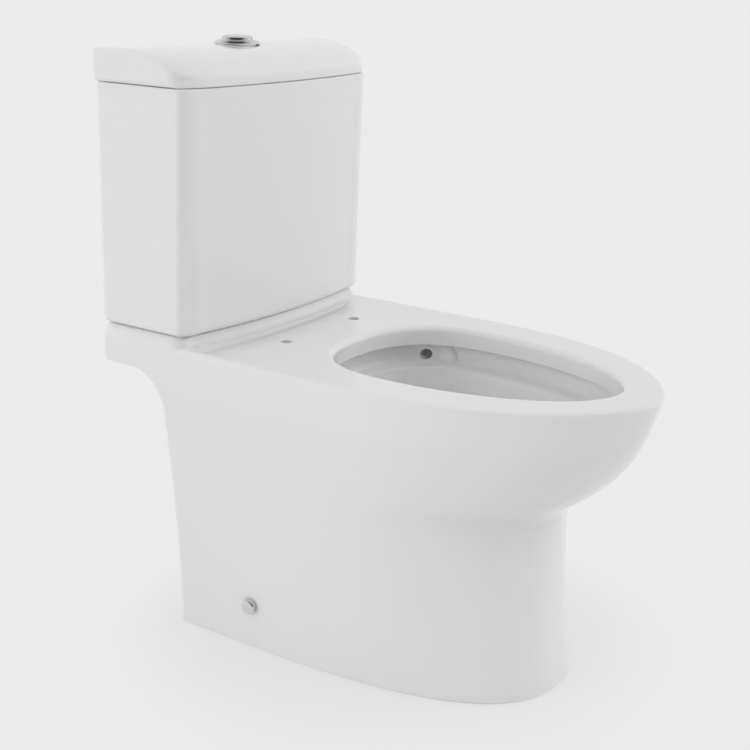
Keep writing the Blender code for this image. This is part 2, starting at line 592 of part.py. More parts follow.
# ---- push buttons ------------------------------------------------------------------------------
def make_buttons(chrome, plastic, steel):
    top, foot = LID_CROWN + GAP, LID_CROWN - BARREL_DEPTH
    face = top + BEZEL_HEIGHT
    place = (BUTTON.x, BUTTON.y, 0)
    rim_r = BUTTON_BORE + BEZEL_LAND
    turned("button_bezel", [(BUTTON_BORE, foot), (BUTTON_BORE, face - 0.0012), (BUTTON_BORE + 0.0008, face),
                            (BUTTON_BORE + 0.003, face), (rim_r - 0.001, top + 0.0014), (rim_r, top),
                            (BARREL_R, top), (BARREL_R, foot)], chrome, place, 28)
    ceiling = LID_CEILING - GAP
    nut("button_lock_nut", BARREL_R + THREAD_GAP, 2 * LOCK_NUT_R * cos(pi / 12), ceiling - 0.007, ceiling,
        plastic, place, 28, 12)

    # the guide plate closes the barrel and carries the springs
    guide_low, guide_top = foot - 0.003 - GAP, foot - GAP
    guide = turned("button_guide", [(0, guide_low), (BARREL_R, guide_low), (BARREL_R, guide_top),
                                    (0, guide_top)], plastic, place, 24)
    rod_y = BUTTON.y + ROD_TO_BUTTON
    for x in LEVER_X:
        drill(guide, (x, rod_y, 0), ROD_R + 0.0006, guide_low - 0.01, guide_top + 0.01, 10)

    skirt = LID_CROWN - SKIRT_DEPTH
    lever_top = PIVOT.z + LEVER_THICK / 2
    shoulder = face + 0.0020
    names = (("full", -1, LEVER_X[0], -0.0090), ("half", 1, LEVER_X[1], 0.0135))
    for name, side, x, coil_x in names:
        dome = [(0, skirt), (DOME_R, skirt), (DOME_R, shoulder)]
        for share, turn in ((0.992, 0.2), (0.97, 0.4), (0.84, 0.6), (0.62, 0.8)):
            dome.append((DOME_R * share, shoulder + (top + DOME_RISE - shoulder) * sin(pi / 2 * turn)))
        dome.append((0, top + DOME_RISE))
        button = turned(name + "_flush_button", dome, chrome, place, 28)
        reach = DOME_R * 2
        slot = BUTTON_SPLIT + side * 0.0003
        low, high = (slot, slot + reach) if side < 0 else (slot - reach, slot)
        combine(button, block("slot", (low, BUTTON.y - reach, skirt - 0.01),
                              (high, BUTTON.y + reach, LID_CROWN + reach), chrome), "DIFFERENCE")
        turned(name + "_push_rod", [(0, lever_top + 0.0012), (ROD_R - 0.0008, lever_top + 0.0012),
                                    (ROD_R, lever_top + 0.0026), (ROD_R, skirt - GAP), (0, skirt - GAP)],
               plastic, (x, rod_y, 0), 10)
        coil = helix((coil_x, BUTTON.y - 0.007), guide_top + GAP + 0.0005, skirt - GAP - 0.0005, 0.0036, 5)
        tube_along(name + "_button_spring", coil, 0.0005, steel, 1)


def helix(centre, low, high, radius, turns):
    steps = turns * 10
    return [(centre[0] + radius * cos(tau * i / 10), centre[1] + radius * sin(tau * i / 10),
             low + (high - low) * i / steps) for i in range(steps + 1)]


# ---- flush valve -------------------------------------------------------------------------------
def make_flush_valve(white, grey, rubber, steel):
    floor = INSIDE_FLOOR + GAP
    x, y = VALVE.x, VALVE.y
    place = (x, y, 0)
    bore = TAIL_R - TAIL_WALL
    tail_end = DECK_TOP - 0.026
    seat_top = floor + 0.010
    flange_top, flange_r = seat_top - 0.004, VALVE_R + 0.003
    turned("flush_valve_seat", [(bore, tail_end), (bore, seat_top), (bore + 0.0025, seat_top),
                                (bore + 0.0040, flange_top), (flange_r, flange_top), (flange_r, floor),
                                (TAIL_R, floor), (TAIL_R, tail_end)], white, place, 24)
    under = CISTERN_FOOT - GAP
    nut("flush_valve_nut", TAIL_R + THREAD_GAP, 2 * (TAIL_R + 0.005), DECK_TOP - 0.0105, under, grey, place,
        24, 8)
    ring_piece("cistern_gasket", TAIL_R + 0.0085, TAIL_R + 0.0165, DECK_TOP - 0.0115, under, rubber, place,
               24, 0.001)

    # the cage, open at its foot, and the head that carries the levers
    cage_foot = flange_top + GAP
    head = PIVOT.z - 0.024
    cage_bore, tube_bore = VALVE_R - 0.003, TUBE_R + 0.0015
    cage = turned("flush_valve_cage", [(cage_bore, cage_foot), (cage_bore, head - 0.003),
                                       (tube_bore, head - 0.003), (tube_bore, head), (VALVE_R, head),
                                       (VALVE_R, cage_foot)], grey, place, 24)
    for turn in range(3):
        window = block("window", (-0.011, 0.0, cage_foot + 0.006),
                       (0.011, VALVE_R + 0.02, cage_foot + 0.046), grey)
        turned_by = Matrix.Rotation(tau * turn / 3 + pi / 6, 4, "Z")
        window.data.transform(Matrix.Translation(place) @ turned_by)
        combine(cage, window, "DIFFERENCE")
    ear_in, ear_thick, extra = LEVER_X[0] - 0.0065, 0.004, 0.003
    ear_out = ear_in - ear_thick
    plate_low, plate_high = (ear_out, y + TUBE_R + 0.004, head - 0.006), (extra - ear_out, PIVOT.y + 0.007,
                                                                          head - 0.001)
    combine(cage, block("head_plate", plate_low, plate_high, grey), "UNION")
    for low, high in ((ear_out, ear_in), (extra - ear_in, extra - ear_out)):
        ear = block("ear", (low, PIVOT.y - 0.0065, head - 0.005), (high, PIVOT.y + 0.0065, PIVOT.z + 0.0055),
                    grey)
        combine(cage, ear, "UNION")
    axis = (0, PIVOT.y, PIVOT.z)
    drill(cage, axis, PIN_R + 0.0003, -0.05, 0.05, 12, "X")
    pin_ends = ear_out - 0.001, extra - ear_out + 0.001
    turned("lever_pin", [(0, pin_ends[0]), (PIN_R, pin_ends[0]), (PIN_R, pin_ends[1]), (0, pin_ends[1])],
           steel, axis, 10, "X")

    # levers: a round boss on the pin, a pad under the push rod and a lifting arm
    collar_r = TUBE_R + 0.0065
    for name, at, tip in (("full", LEVER_X[0], y + TUBE_R + 0.0012),
                          ("half", LEVER_X[1], y + collar_r + 0.0018)):
        half, boss, thick = 0.0048, 0.0048, LEVER_THICK / 2
        lever = turned(name + "_flush_lever", [(PIN_R + 0.0004, -half), (PIN_R + 0.0004, half), (boss, half),
                                               (boss, -half)], white, (at, PIVOT.y, PIVOT.z), 16, "X")
        left, right = at - half + 0.0003, at + half - 0.0003
        for near, far in ((PIVOT.y + 0.0035, PIVOT.y + LEVER_ARM + 0.005), (tip, PIVOT.y - 0.0035)):
            combine(lever, block("arm", (left, near, PIVOT.z - thick), (right, far, PIVOT.z + thick), white),
                    "UNION")

    # the overflow tube carries the valve disc, the seal and the lifting collar
    lift = PIVOT.z + LEVER_THICK / 2 + 0.0016
    tube_in, disc_r = TUBE_R - 0.0018, VALVE_R - 0.0042
    disc_low, disc_high = seat_top + 0.0040, seat_top + 0.0085
    turned("overflow_tube", [(tube_in, seat_top - 0.0015), (tube_in, lift + 0.004), (collar_r, lift + 0.004),
                             (collar_r, lift), (TUBE_R, lift), (TUBE_R, disc_high),
                             (disc_r, disc_high - 0.002), (disc_r, disc_low), (TUBE_R, disc_low),
                             (TUBE_R, seat_top - 0.0015)], white, place, 20)
    ring_piece("flush_valve_seal", TUBE_R + 0.0003, disc_r - 0.0003, seat_top + GAP, disc_low - GAP, rubber,
               place, 24)


# ---- fill valve --------------------------------------------------------------------------------
def make_fill_valve(white, grey, rubber):
    x, y = FILL.x, FILL.y
    place = (x, y, 0)
    floor = INSIDE_FLOOR + GAP
    washer_top = floor + 0.003
    head = CISTERN_TOP - 0.085
    stem, bore, flange = 0.0115, 0.005, 0.016
    tail_end = RIM_HEIGHT - DECK_THICK - 0.016
    turned("fill_valve_stem", [(bore, tail_end), (bore, floor + 0.030), (stem - 0.003, floor + 0.034),
                               (stem - 0.003, head), (stem, head), (stem, floor + 0.018),
                               (flange, floor + 0.014), (flange, washer_top + GAP),
                               (SHANK_R, washer_top + GAP), (SHANK_R, tail_end)], white, place, 18)
    ring_piece("fill_valve_washer", SHANK_R + 0.0003, flange - 0.0005, floor, washer_top, rubber, place, 18)
    nut("fill_valve_nut", SHANK_R + THREAD_GAP, 0.029, CISTERN_FOOT - 0.011, CISTERN_FOOT - GAP, grey, place,
        18)

    # the head holds the nozzle of the refill hose and the ear of the float arm
    body_r = 0.019
    body = turned("fill_valve_head", [(0, head + GAP), (body_r - 0.002, head + GAP), (body_r, head + 0.004),
                                      (body_r, head + 0.028), (body_r - 0.003, head + 0.033),
                                      (0, head + 0.033)], white, place, 18)
    nozzle_x = x - 0.026
    nozzle = block("nozzle", (nozzle_x - 0.004, y - 0.004, head + 0.008),
                   (x - 0.012, y + 0.004, head + 0.016), white)
    combine(body, nozzle, "UNION")
    pin_x, pin_z = x + 0.023, head + 0.0085
    ear = block("arm_ear", (x + 0.012, y - 0.0025, pin_z - 0.003),
                (pin_x + 0.0035, y + 0.0025, pin_z + 0.005), white)
    combine(body, ear, "UNION")
    ring_piece("refill_hose_clip", 0.0032, 0.0052, head + 0.0005, head + 0.0075, grey, (nozzle_x, y, 0), 12)

    # the float slides on the stem, and its rod lifts the arm that rocks on the head's ear
    float_top, float_r = head - 0.040, 0.029
    float_foot = float_top - 0.048
    cup = turned("float_cup", [(stem + 0.0012, float_foot), (stem + 0.0012, float_top),
                               (float_r - 0.001, float_top), (float_r, float_top - 0.002),
                               (float_r, float_foot)], grey, place, 20)
    rod_x, rod_r = pin_x + FLOAT_ARM, 0.0016
    arm_low, arm_top = pin_z - 0.002, pin_z + 0.002
    bracket = block("rod_bracket", (x + 0.022, y - 0.004, float_top - 0.006),
                    (rod_x + 0.003, y + 0.004, float_top - 0.0015), grey)
    combine(cup, bracket, "UNION")
    rod_low, rod_top = float_top - 0.004, arm_low - 0.0012
    rod = turned("float_rod", [(0, rod_low), (rod_r, rod_low), (rod_r, rod_top), (0, rod_top)], grey,
                 (rod_x, y, 0), 8)
    combine(cup, rod, "UNION")
    near, far, inner = pin_x - 0.002, rod_x + 0.004, 0.0032
    arm = block("float_arm", (near, y - 0.0065, arm_low), (far, y - inner, arm_top), white)
    combine(arm, block("arm_far", (near, y + inner, arm_low), (far, y + 0.0065, arm_top), white), "UNION")
    bridge = block("arm_bridge", (rod_x - 0.003, y - 0.005, arm_low + 0.0001),
                   (far - 0.0002, y + 0.005, arm_top - 0.0001), white)
    combine(arm, bridge, "UNION")

    # the refill hose droops from the nozzle and hooks over the overflow tube
    hose = smooth_path([(nozzle_x, y, head - 0.0002), (nozzle_x - 0.002, y, head - 0.018),
                        (x - 0.050, y - 0.010, head - 0.026), (x - 0.078, y - 0.024, head + 0.004),
                        (VALVE.x + 0.030, VALVE.y + 0.004, PIVOT.z + 0.018),
                        (VALVE.x + 0.012, VALVE.y, PIVOT.z + 0.021),
                        (VALVE.x + 0.0045, VALVE.y, PIVOT.z + 0.008)], 4)
    tube_along("refill_hose", hose, 0.0030, rubber, 2)


# ---- bolts and floor fixings -------------------------------------------------------------------
def make_bolts(rubber, steel, brass):
    deck_foot = RIM_HEIGHT - DECK_THICK
    floor = INSIDE_FLOOR + GAP
    hole = BOLT_R + 0.0003
    for side, name in ((-1, "left"), (1, "right")):
        place = (side * BOLT_X, BOLT_Y, 0)
        ring_piece("bolt_seal_" + name, hole, 0.0118, floor, floor + 0.004, rubber, place, 16, 0.001)
        head, end = floor + 0.004 + GAP, deck_foot - 0.022
        turned("cistern_bolt_" + name, [(0, end), (BOLT_R, end), (BOLT_R, head), (0.0095, head),
                                        (0.0090, head + 0.003), (0.004, head + 0.0045), (0, head + 0.0045)],
               brass, place, 14)
        washer, thick = deck_foot - 0.0006, 0.0018
        ring_piece("bolt_washer_" + name, hole, 0.0110, washer - thick, washer, steel, place, 16)
        top = washer - thick - GAP
        wing_nut = ring_piece("wing_nut_" + name, hole, 0.0068, top - 0.008, top, brass, place, 12)
        for wing in (-1, 1):
            low, high = sorted((side * BOLT_X + wing * 0.0058, side * BOLT_X + wing * 0.0150))
            blade = block("wing", (low, BOLT_Y - 0.0011, top - 0.0105), (high, BOLT_Y + 0.0011, top - 0.001),
                          brass)
            combine(wing_nut, blade, "UNION")


def make_floor_fixings(chrome, plastic, steel):
    y, z = REAR - FIX_TO_BACK, FIX_HEIGHT
    for side, name in ((-1, "left"), (1, "right")):
        out = side_face(z + CAP_R) + 0.0008
        cap = [(0, 0), (CAP_R, 0), (CAP_R, 0.0030), (CAP_R - 0.0006, 0.0046), (CAP_R - 0.0026, 0.0060),
               (CAP_R * 0.4, 0.0069), (0, 0.0070)]
        made = turned("fixing_cap_" + name, [(r, side * (h + out)) for r, h in cap], chrome, (0, y, z), 20,
                      "X")
        hollow = [(0, -0.01), (0.0062, -0.01), (0.0062, 0.0036), (0, 0.0036)]
        hollow = turned("cap_hollow", [(r, side * (h + out)) for r, h in hollow], chrome, (0, y, z), 16, "X")
        combine(made, hollow, "DIFFERENCE")
        inner = side_face(z) - WALL - 0.004
        head = out + 0.0004
        screw = [(0, inner - 0.026), (0.0022, inner - 0.022), (0.0030, inner - 0.014), (0.0030, head),
                 (0.0056, head), (0.0052, head + 0.0022), (0, head + 0.0026)]
        turned("side_screw_" + name, [(r, side * h) for r, h in screw], steel, (0, y, z), 12, "X")
        near, far = sorted((side * (inner - 0.006), side * (inner - 0.024)))
        top = z + 0.014
        bracket = block("floor_bracket_" + name, (near, y - 0.016, GAP), (far, y + 0.016, top), plastic,
                        0.0012)
        low, high = sorted((side * (inner - 0.008), side * (inner - 0.052)))
        foot = block("foot", (low, y - 0.0158, GAP + 0.0001), (high, y + 0.0158, 0.009), plastic)
        combine(bracket, foot, "UNION")
        drill(bracket, (0, y, z), 0.0036, side * inner - 0.05, side * inner + 0.05, 12, "X")
        drill(bracket, (side * (inner - 0.038), y, 0), 0.004, -0.01, 0.02, 12)


# ---- assembly ----------------------------------------------------------------------------------
def main():
    for old in list(bpy.data.objects):
        bpy.data.objects.remove(old)
    ceramic = material("glazed_ceramic", (0.80, 0.80, 0.795), 0.12)
    chrome = material("chrome", (0.62, 0.63, 0.65), 0.08, 1.0)
    white = material("white_plastic", (0.82, 0.82, 0.80), 0.40)
    grey = material("grey_plastic", (0.38, 0.40, 0.42), 0.45)
    rubber = material("black_rubber", (0.03, 0.03, 0.03), 0.75)
    steel = material("stainless_steel", (0.55, 0.55, 0.56), 0.30, 1.0)
    brass = material("brass", (0.70, 0.52, 0.24), 0.30, 1.0)
    make_pan(ceramic)
    make_cistern(ceramic)
    make_lid(ceramic)
    make_buttons(chrome, white, steel)
    make_flush_valve(white, grey, rubber, steel)
    make_fill_valve(white, grey, rubber)
    make_bolts(rubber, steel, brass)
    make_floor_fixings(chrome, white, steel)


main()
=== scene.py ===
"""The looks of a close coupled toilet: glazed china, chrome push button and caps, plastic works.

Metres, +Z up, the bowl's front at -Y and the wall side at +Y, as in the frame. The china, the chrome
and the floor fixings are modelled here, and the small works are eased copies of the frame's nodes.
"""

import json
from math import cos, pi, radians, sin, sqrt, tau

import bmesh
import bpy
from mathutils import Matrix, Vector


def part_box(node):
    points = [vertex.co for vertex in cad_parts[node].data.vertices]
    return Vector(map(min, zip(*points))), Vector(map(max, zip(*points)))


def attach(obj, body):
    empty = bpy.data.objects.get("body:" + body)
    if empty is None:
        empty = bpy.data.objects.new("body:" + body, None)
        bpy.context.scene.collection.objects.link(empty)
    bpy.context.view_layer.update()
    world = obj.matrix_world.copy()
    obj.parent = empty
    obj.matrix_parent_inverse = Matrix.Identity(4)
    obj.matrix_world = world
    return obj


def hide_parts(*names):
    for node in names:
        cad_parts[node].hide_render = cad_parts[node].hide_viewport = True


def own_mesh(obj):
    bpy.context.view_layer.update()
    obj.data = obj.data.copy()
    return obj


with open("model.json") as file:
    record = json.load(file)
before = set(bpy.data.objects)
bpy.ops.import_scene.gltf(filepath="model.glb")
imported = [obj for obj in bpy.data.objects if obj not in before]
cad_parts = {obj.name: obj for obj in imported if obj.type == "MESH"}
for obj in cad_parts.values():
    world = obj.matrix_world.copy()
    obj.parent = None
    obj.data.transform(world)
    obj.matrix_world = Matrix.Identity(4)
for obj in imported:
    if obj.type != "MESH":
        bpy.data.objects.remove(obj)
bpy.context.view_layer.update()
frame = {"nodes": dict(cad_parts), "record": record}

# ---- sizes taken from the frame ------------------------------------------------------------------
PAN_LOW, PAN_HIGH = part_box("pan")
TANK_LOW, TANK_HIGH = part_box("cistern")
LID_LOW, LID_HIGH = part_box("cistern_lid")
BEZEL_LOW, BEZEL_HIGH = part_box("button_bezel")
NUT_LOW, NUT_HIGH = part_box("button_lock_nut")
BUTTON_LOW, BUTTON_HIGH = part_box("full_flush_button")
SEAT_LOW, SEAT_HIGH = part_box("flush_valve_seat")
STEM_LOW, STEM_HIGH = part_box("fill_valve_stem")
BOLT_LOW, BOLT_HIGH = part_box("cistern_bolt_right")

PAN_HALF, FRONT, REAR = PAN_HIGH.x, PAN_LOW.y, PAN_HIGH.y
PLINTH_TOP = PAN_HIGH.z
PLINTH_HEIGHT = 0.013
RIM = PLINTH_TOP - PLINTH_HEIGHT
WALL = 0.012

# pan, outside
FOOT_TAPER, FOOT_ROUND, FOOT_STEP = 0.036, 0.004, 0.0012
BASE_SETBACK, NECK_SETBACK, NECK_HEIGHT, NECK_FILLET = 0.1013, 0.1197, 0.2335, 0.022
OVERHANG, OVERHANG_FILLET, OVERHANG_EDGE = 0.096, 0.048, 0.008
DECK_THICK, DECK_PLATE, RIM_PLATE = 0.037, 0.048, 0.014
RIM_ROUND, PAN_CORNER = 0.0066, 0.008
PEDESTAL_BACK = REAR - OVERHANG

# pan, bowl and waste
OPENING_HALF, OPENING_FRONT, OPENING_REAR = PAN_HALF - 0.066, FRONT + 0.053, REAR - 0.273
OPENING_MID = OPENING_REAR - (OPENING_REAR - OPENING_FRONT) / 3
LIP_HEIGHT, LIP_UNDERCUT, LIP_ROUND, LIP_EDGE = 0.026, 0.013, 0.008, 0.0016
SHELF = RIM - 0.057
SHELF_ROUND = 0.012
SUMP_HEIGHT = 0.112
OUTLET_R = 0.0072
OUTLET_TO_REAR, OUTLET_DROP = 0.0335, 0.042
RIDGE_HALF_SIZES = (0.010, 0.021, 0.030)
RIDGE_AHEAD, RIDGE_BELOW, RIDGE_SUNK = 0.0185, 0.008, 0.0086
TRAP_R, TRAP_WALL, SPIGOT_HEIGHT, SPIGOT_REACH = 0.038, 0.011, 0.185, 0.046
CHAMBER_HALF, CHAMBER_ROOF, CHAMBER_TALL = 0.045, 0.012, 0.022

# plinth under the cistern, and the holes through the deck and the skirt
PLINTH_INSET, PLINTH_REAR_INSET, PLINTH_ROUNDER = 0.010, 0.0045, 0.016
PLINTH_EDGE, PLINTH_FILLET = 0.0025, 0.010
# the deck's ledge around the plinth: up to the first width it rolls over, then it turns to a step
LEDGE_ROLLED, LEDGE_CHANGE = 0.0102, 0.018
SEAT_HOLE = Vector((0.075, REAR - 0.2125, RIM))
SEAT_HOLE_R, HOLE_MOUTH = 0.0075, 0.0010
DECK_BOLT_HOLE_R, DECK_FILL_HOLE_R, SCREW_HOLE_R = 0.0068, 0.0219, 0.004
RECESS_DEPTH, RECESS_BEYOND_TAIL, INLET_BEYOND_TAIL = 0.012, 0.017, 0.007
SCREW_Y, SCREW_Z = REAR - 0.2205, 0.062

# cistern and lid
TANK_HALF, TANK_REAR = TANK_HIGH.x, TANK_HIGH.y
TANK_FOOT, TANK_TOP = TANK_LOW.z, TANK_HIGH.z
TANK_LEAN, TANK_BOW = 0.006, 0.018
TANK_FRONT = TANK_LOW.y + TANK_LEAN
TANK_CORNER, TANK_CORNER_DEEP, TANK_BACK_CORNER = 0.036, 0.017, 0.010
TANK_EDGE, TANK_LIP = 0.008, 0.0025
TANK_WALL, TANK_FLOOR = 0.011, 0.015
TANK_MOUTH_EDGE, TANK_FLOOR_FILLET = 0.002, 0.008
TANK_BOLT_HOLE_R, TANK_FILL_HOLE_R, TAIL_HOLE_GAP = 0.0058, 0.0116, 0.0012
LID_HALF, LID_CROWN = LID_HIGH.x, LID_HIGH.z
LID_FOOT = TANK_TOP + 0.0005
LID_CORNER, LID_CORNER_DEEP, LID_ROLL, LID_EDGE = 0.038, 0.018, 0.095, 0.0095
LID_FOOT_EDGE, LID_SIDE_EDGE, LID_REAR_EDGE = 0.0025, 0.0065, 0.0035
LID_RIB, LID_RIB_WALL, LID_RIB_GAP, LID_WALL = 0.008, 0.008, 0.0022, 0.010

# button, valves and bolts
BUTTON = Vector((0.0, (BEZEL_LOW.y + BEZEL_HIGH.y) / 2, BEZEL_HIGH.z))
BEZEL_R = BEZEL_HIGH.x
BEZEL_HEIGHT, BEZEL_LAND, BARREL_WALL, DOME_GAP = 0.0036, 0.0062, 0.0017, 0.0007
BORE_R = BEZEL_R - BEZEL_LAND
DOME_R, DOME_TOP, DOME_FOOT = BORE_R - DOME_GAP, BUTTON_HIGH.z, BUTTON_LOW.z
SPLIT, SPLIT_GAP, PRESS_STROKE = 0.006, 0.0006, 0.006
CAP_EDGE, CAP_CROWN, CAP_HOLLOW_R, CAP_HOLLOW_DEPTH = 0.0022, 0.0008, 0.0062, 0.0036
VALVE = (SEAT_LOW + SEAT_HIGH) / 2
TAIL_R = 0.027
FILL = (STEM_LOW + STEM_HIGH) / 2
BOLT = (BOLT_LOW + BOLT_HIGH) / 2

# studio
BACKGROUND = "#EBEBEB"


# ---- the way things are made ---------------------------------------------------------------------
def alone(piece):
    """Only this piece is selected and active."""
    bpy.ops.object.select_all(action="DESELECT")
    piece.select_set(True)
    bpy.context.view_layer.objects.active = piece


def begin(name, vertices):
    """A circle of loose edges, whose points know their place around it."""
    bpy.ops.object.select_all(action="DESELECT")
    bpy.ops.mesh.primitive_circle_add(vertices=vertices, radius=1.0)
    piece = bpy.context.object
    piece.name = piece.data.name = name
    bpy.ops.object.mode_set(mode="EDIT")
    bm = bmesh.from_edit_mesh(piece.data)
    around = bm.verts.layers.int.new("around")
    bm.verts.ensure_lookup_table()
    for i, vert in enumerate(bm.verts):
        vert[around] = i
    bmesh.update_edit_mesh(piece.data)
    return piece


def lay(piece, ring):
    """Moves the selected points to their places on a ring."""
    bm = bmesh.from_edit_mesh(piece.data)
    around = bm.verts.layers.int["around"]
    for vert in bm.verts:
        if vert.select:
            vert.co = ring[vert[around]]
    bmesh.update_edit_mesh(piece.data)


def drawn(name, rings, caps=True):
    """A skin extruded from ring to ring, closed at both ends."""
    piece = begin(name, len(rings[0]))
    lay(piece, rings[0])
    if caps:
        bpy.ops.mesh.edge_face_add()
        bpy.ops.mesh.select_all(action="SELECT")
        bpy.ops.mesh.extrude_region_move()
    else:
        bpy.ops.mesh.extrude_edges_move()
    for ring in rings[1:-1]:
        lay(piece, ring)
        bpy.ops.mesh.extrude_region_move()
    lay(piece, rings[-1])
    return closed(piece)


def closed(piece, weld=2e-6):
    """Merges doubles, turns the faces outwards and leaves edit mode."""
    bpy.ops.mesh.select_all(action="SELECT")
    bpy.ops.mesh.remove_doubles(threshold=weld)
    bpy.ops.mesh.normals_make_consistent(inside=False)
    bpy.ops.object.mode_set(mode="OBJECT")
    return piece


def turned(name, profile, place=(0, 0, 0), axis="Z", steps=96):
    """A closed profile of (radius, height) points spun about an axis through place."""
    piece = begin(name, len(profile))
    across, along = {"Z": ((1, 0, 0), (0, 0, 1)), "X": ((0, 0, 1), (1, 0, 0)),
                     "Y": ((1, 0, 0), (0, 1, 0))}[axis]
    across, along, centre = Vector(across), Vector(along), Vector(place)
    lay(piece, [centre + across * r + along * h for r, h in profile])
    bpy.ops.mesh.spin(steps=steps, angle=tau, center=centre, axis=along)
    bpy.ops.mesh.select_all(action="SELECT")
    bpy.ops.mesh.remove_doubles(threshold=2e-6)
    bpy.ops.mesh.delete_loose()
    return closed(piece)


def box(name, low, high, edge=0.0):
    """A block between two corners, with its edges eased."""
    bpy.ops.object.select_all(action="DESELECT")
    low, high = Vector(low), Vector(high)
    bpy.ops.mesh.primitive_cube_add(size=1.0, location=(low + high) / 2, scale=high - low)
    piece = bpy.context.object
    piece.name = piece.data.name = name
    bpy.ops.object.transform_apply(location=True, rotation=True, scale=True)
    if edge:
        bevel = piece.modifiers.new("ease", "BEVEL")
        bevel.width, bevel.segments = edge, 3
        bpy.ops.object.modifier_apply(modifier=bevel.name)
    return piece


def pipe(name, points, radius, fineness=12):
    """A round bar along a smooth path."""
    bpy.ops.object.select_all(action="DESELECT")
    bpy.ops.curve.primitive_nurbs_path_add()
    piece = bpy.context.object
    piece.name = piece.data.name = name
    curve = piece.data
    curve.splines.clear()
    spline = curve.splines.new("POLY")
    spline.points.add(len(points) - 1)
    for knot, point in zip(spline.points, points):
        knot.co = (*point, 1.0)
    curve.bevel_depth, curve.bevel_resolution, curve.use_fill_caps = radius, fineness, True
    curve.dimensions = "3D"
    bpy.ops.object.convert(target="MESH")
    bpy.ops.object.mode_set(mode="EDIT")
    return closed(bpy.context.object)


def boolean(piece, tool, how="DIFFERENCE"):
    """Cuts or joins a tool, and removes it."""
    alone(piece)
    change = piece.modifiers.new(how.lower(), "BOOLEAN")
    change.operation, change.object, change.solver = how, tool, "EXACT"
    bpy.ops.object.modifier_apply(modifier=change.name)
    bpy.data.objects.remove(tool)
    bpy.ops.object.mode_set(mode="EDIT")
    bpy.ops.mesh.select_all(action="SELECT")
    bpy.ops.mesh.remove_doubles(threshold=2e-6)
    bpy.ops.object.mode_set(mode="OBJECT")
    return piece


def drill(piece, place, radius, low, high, axis="Z", mouth=0.0, steps=48):
    """A round hole from low to high along an axis, with an eased mouth at its high end."""
    profile = [(0, low), (radius, low), (radius, high - mouth)]
    for i in range(1, 5):
        turn = pi / 2 * i / 4
        if mouth:
            profile.append((radius + mouth * (1 - cos(turn)), high - mouth * (1 - sin(turn))))
    last = profile[-1][0]
    profile += [(last + mouth * 0.2, high + 0.004), (0, high + 0.004)]
    return boolean(piece, turned("drill", profile, place, axis, steps))


def arc(steps, first=0.0, last=1.0):
    """Turns of a quarter circle, from first to last share of it."""
    return [pi / 2 * (first + (last - first) * i / steps) for i in range(steps + 1)]


def mix_between(low, high, count):
    """Steps after low, up to and with high."""
    return [low + (high - low) * (i + 1) / count for i in range(count)]


def smooth_path(points, between):
    """A Catmull-Rom curve through points, as vectors of any length."""
    points = [Vector(p) for p in points]
    ends = [points[0] * 2 - points[1], *points, points[-1] * 2 - points[-2]]
    found = []
    for a, b, c, d in zip(ends, ends[1:], ends[2:], ends[3:]):
        for step in range(between):
            t = step / between
            found.append(0.5 * (2 * b + (c - a) * t + (2 * a - 5 * b + 4 * c - d) * t * t
                                + (3 * b - a - 3 * c + d) * t ** 3))
    return [*found, points[-1]]


def ease(share):
    """A share from 0 to 1 that starts and ends softly."""
    share = min(max(share, 0.0), 1.0)
    return share * share * (3 - 2 * share)


# ---- pan -----------------------------------------------------------------------------------------
def pan_front(z):
    """The front of the pan at a height: foot, waist and the bowl swelling over it, with a fillet between."""
    foot = max(1 - z / (NECK_HEIGHT - 0.021), 0.0) ** 1.6
    waist = NECK_SETBACK - (NECK_SETBACK - BASE_SETBACK) * foot
    under = max(RIM - RIM_ROUND - z, 0.0) / (RIM - RIM_ROUND - NECK_HEIGHT)
    bowl = NECK_SETBACK * (0.39 * under + 0.61 * under ** 3.13)
    blend = max(NECK_FILLET - abs(waist - bowl), 0.0)
    return FRONT + min(waist, bowl) - blend * blend / (4 * NECK_FILLET)


def pan_ring(z, back=PEDESTAL_BACK, inset=0.0, front=None, corner=PAN_CORNER, curve=56, side=12):
    """One outline of the pan: a flat back, straight sides and a full round front."""
    flare = min(z / (RIM - 0.055), 1.0) ** 1.6
    half = PAN_HALF - FOOT_TAPER * (1 - flare) - inset
    front = (pan_front(z) if front is None else front) + inset
    back -= inset
    corner = max(corner - inset, 0.002)
    mix = ease(z / RIM)
    start = REAR - 0.227 - 0.090 * mix
    power_y, power_x = 2.5 + 0.3 * mix, 2.5 - 0.85 * mix
    right = [(0.0, front)]
    for i in range(1, curve):
        turn = pi / 2 * (1 - i / curve)
        x = half * cos(turn) ** (2 / power_x)
        y = start - (start - front) * sin(turn) ** (2 / power_y)
        right.append((x, y))
    right += [(half, start + (back - corner - start) * i / side) for i in range(side)]
    right += [(half - corner + corner * cos(turn), back - corner + corner * sin(turn)) for turn in arc(7)]
    right += [((half - corner) * (1 - i / 6), back) for i in range(1, 6)]
    left = [(-x, y) for x, y in reversed(right[1:])]
    return [(x, y, z) for x, y in [*right, (0.0, back), *left]]


def oval_ring(z, half, front, back, count=176):
    """A bowl outline: a long front and a squarer back."""
    ring = []
    for i in range(count):
        turn = tau * i / count
        c, s = cos(turn), sin(turn)
        reach, power = (back - OPENING_MID, 2.4) if s > 0 else (OPENING_MID - front, 2.0)
        x = half * abs(c) ** (2 / power) * (1 if c > 0 else -1)
        y = OPENING_MID + reach * abs(s) ** (2 / power) * (1 if s > 0 else -1)
        ring.append((x, y, z))
    return ring


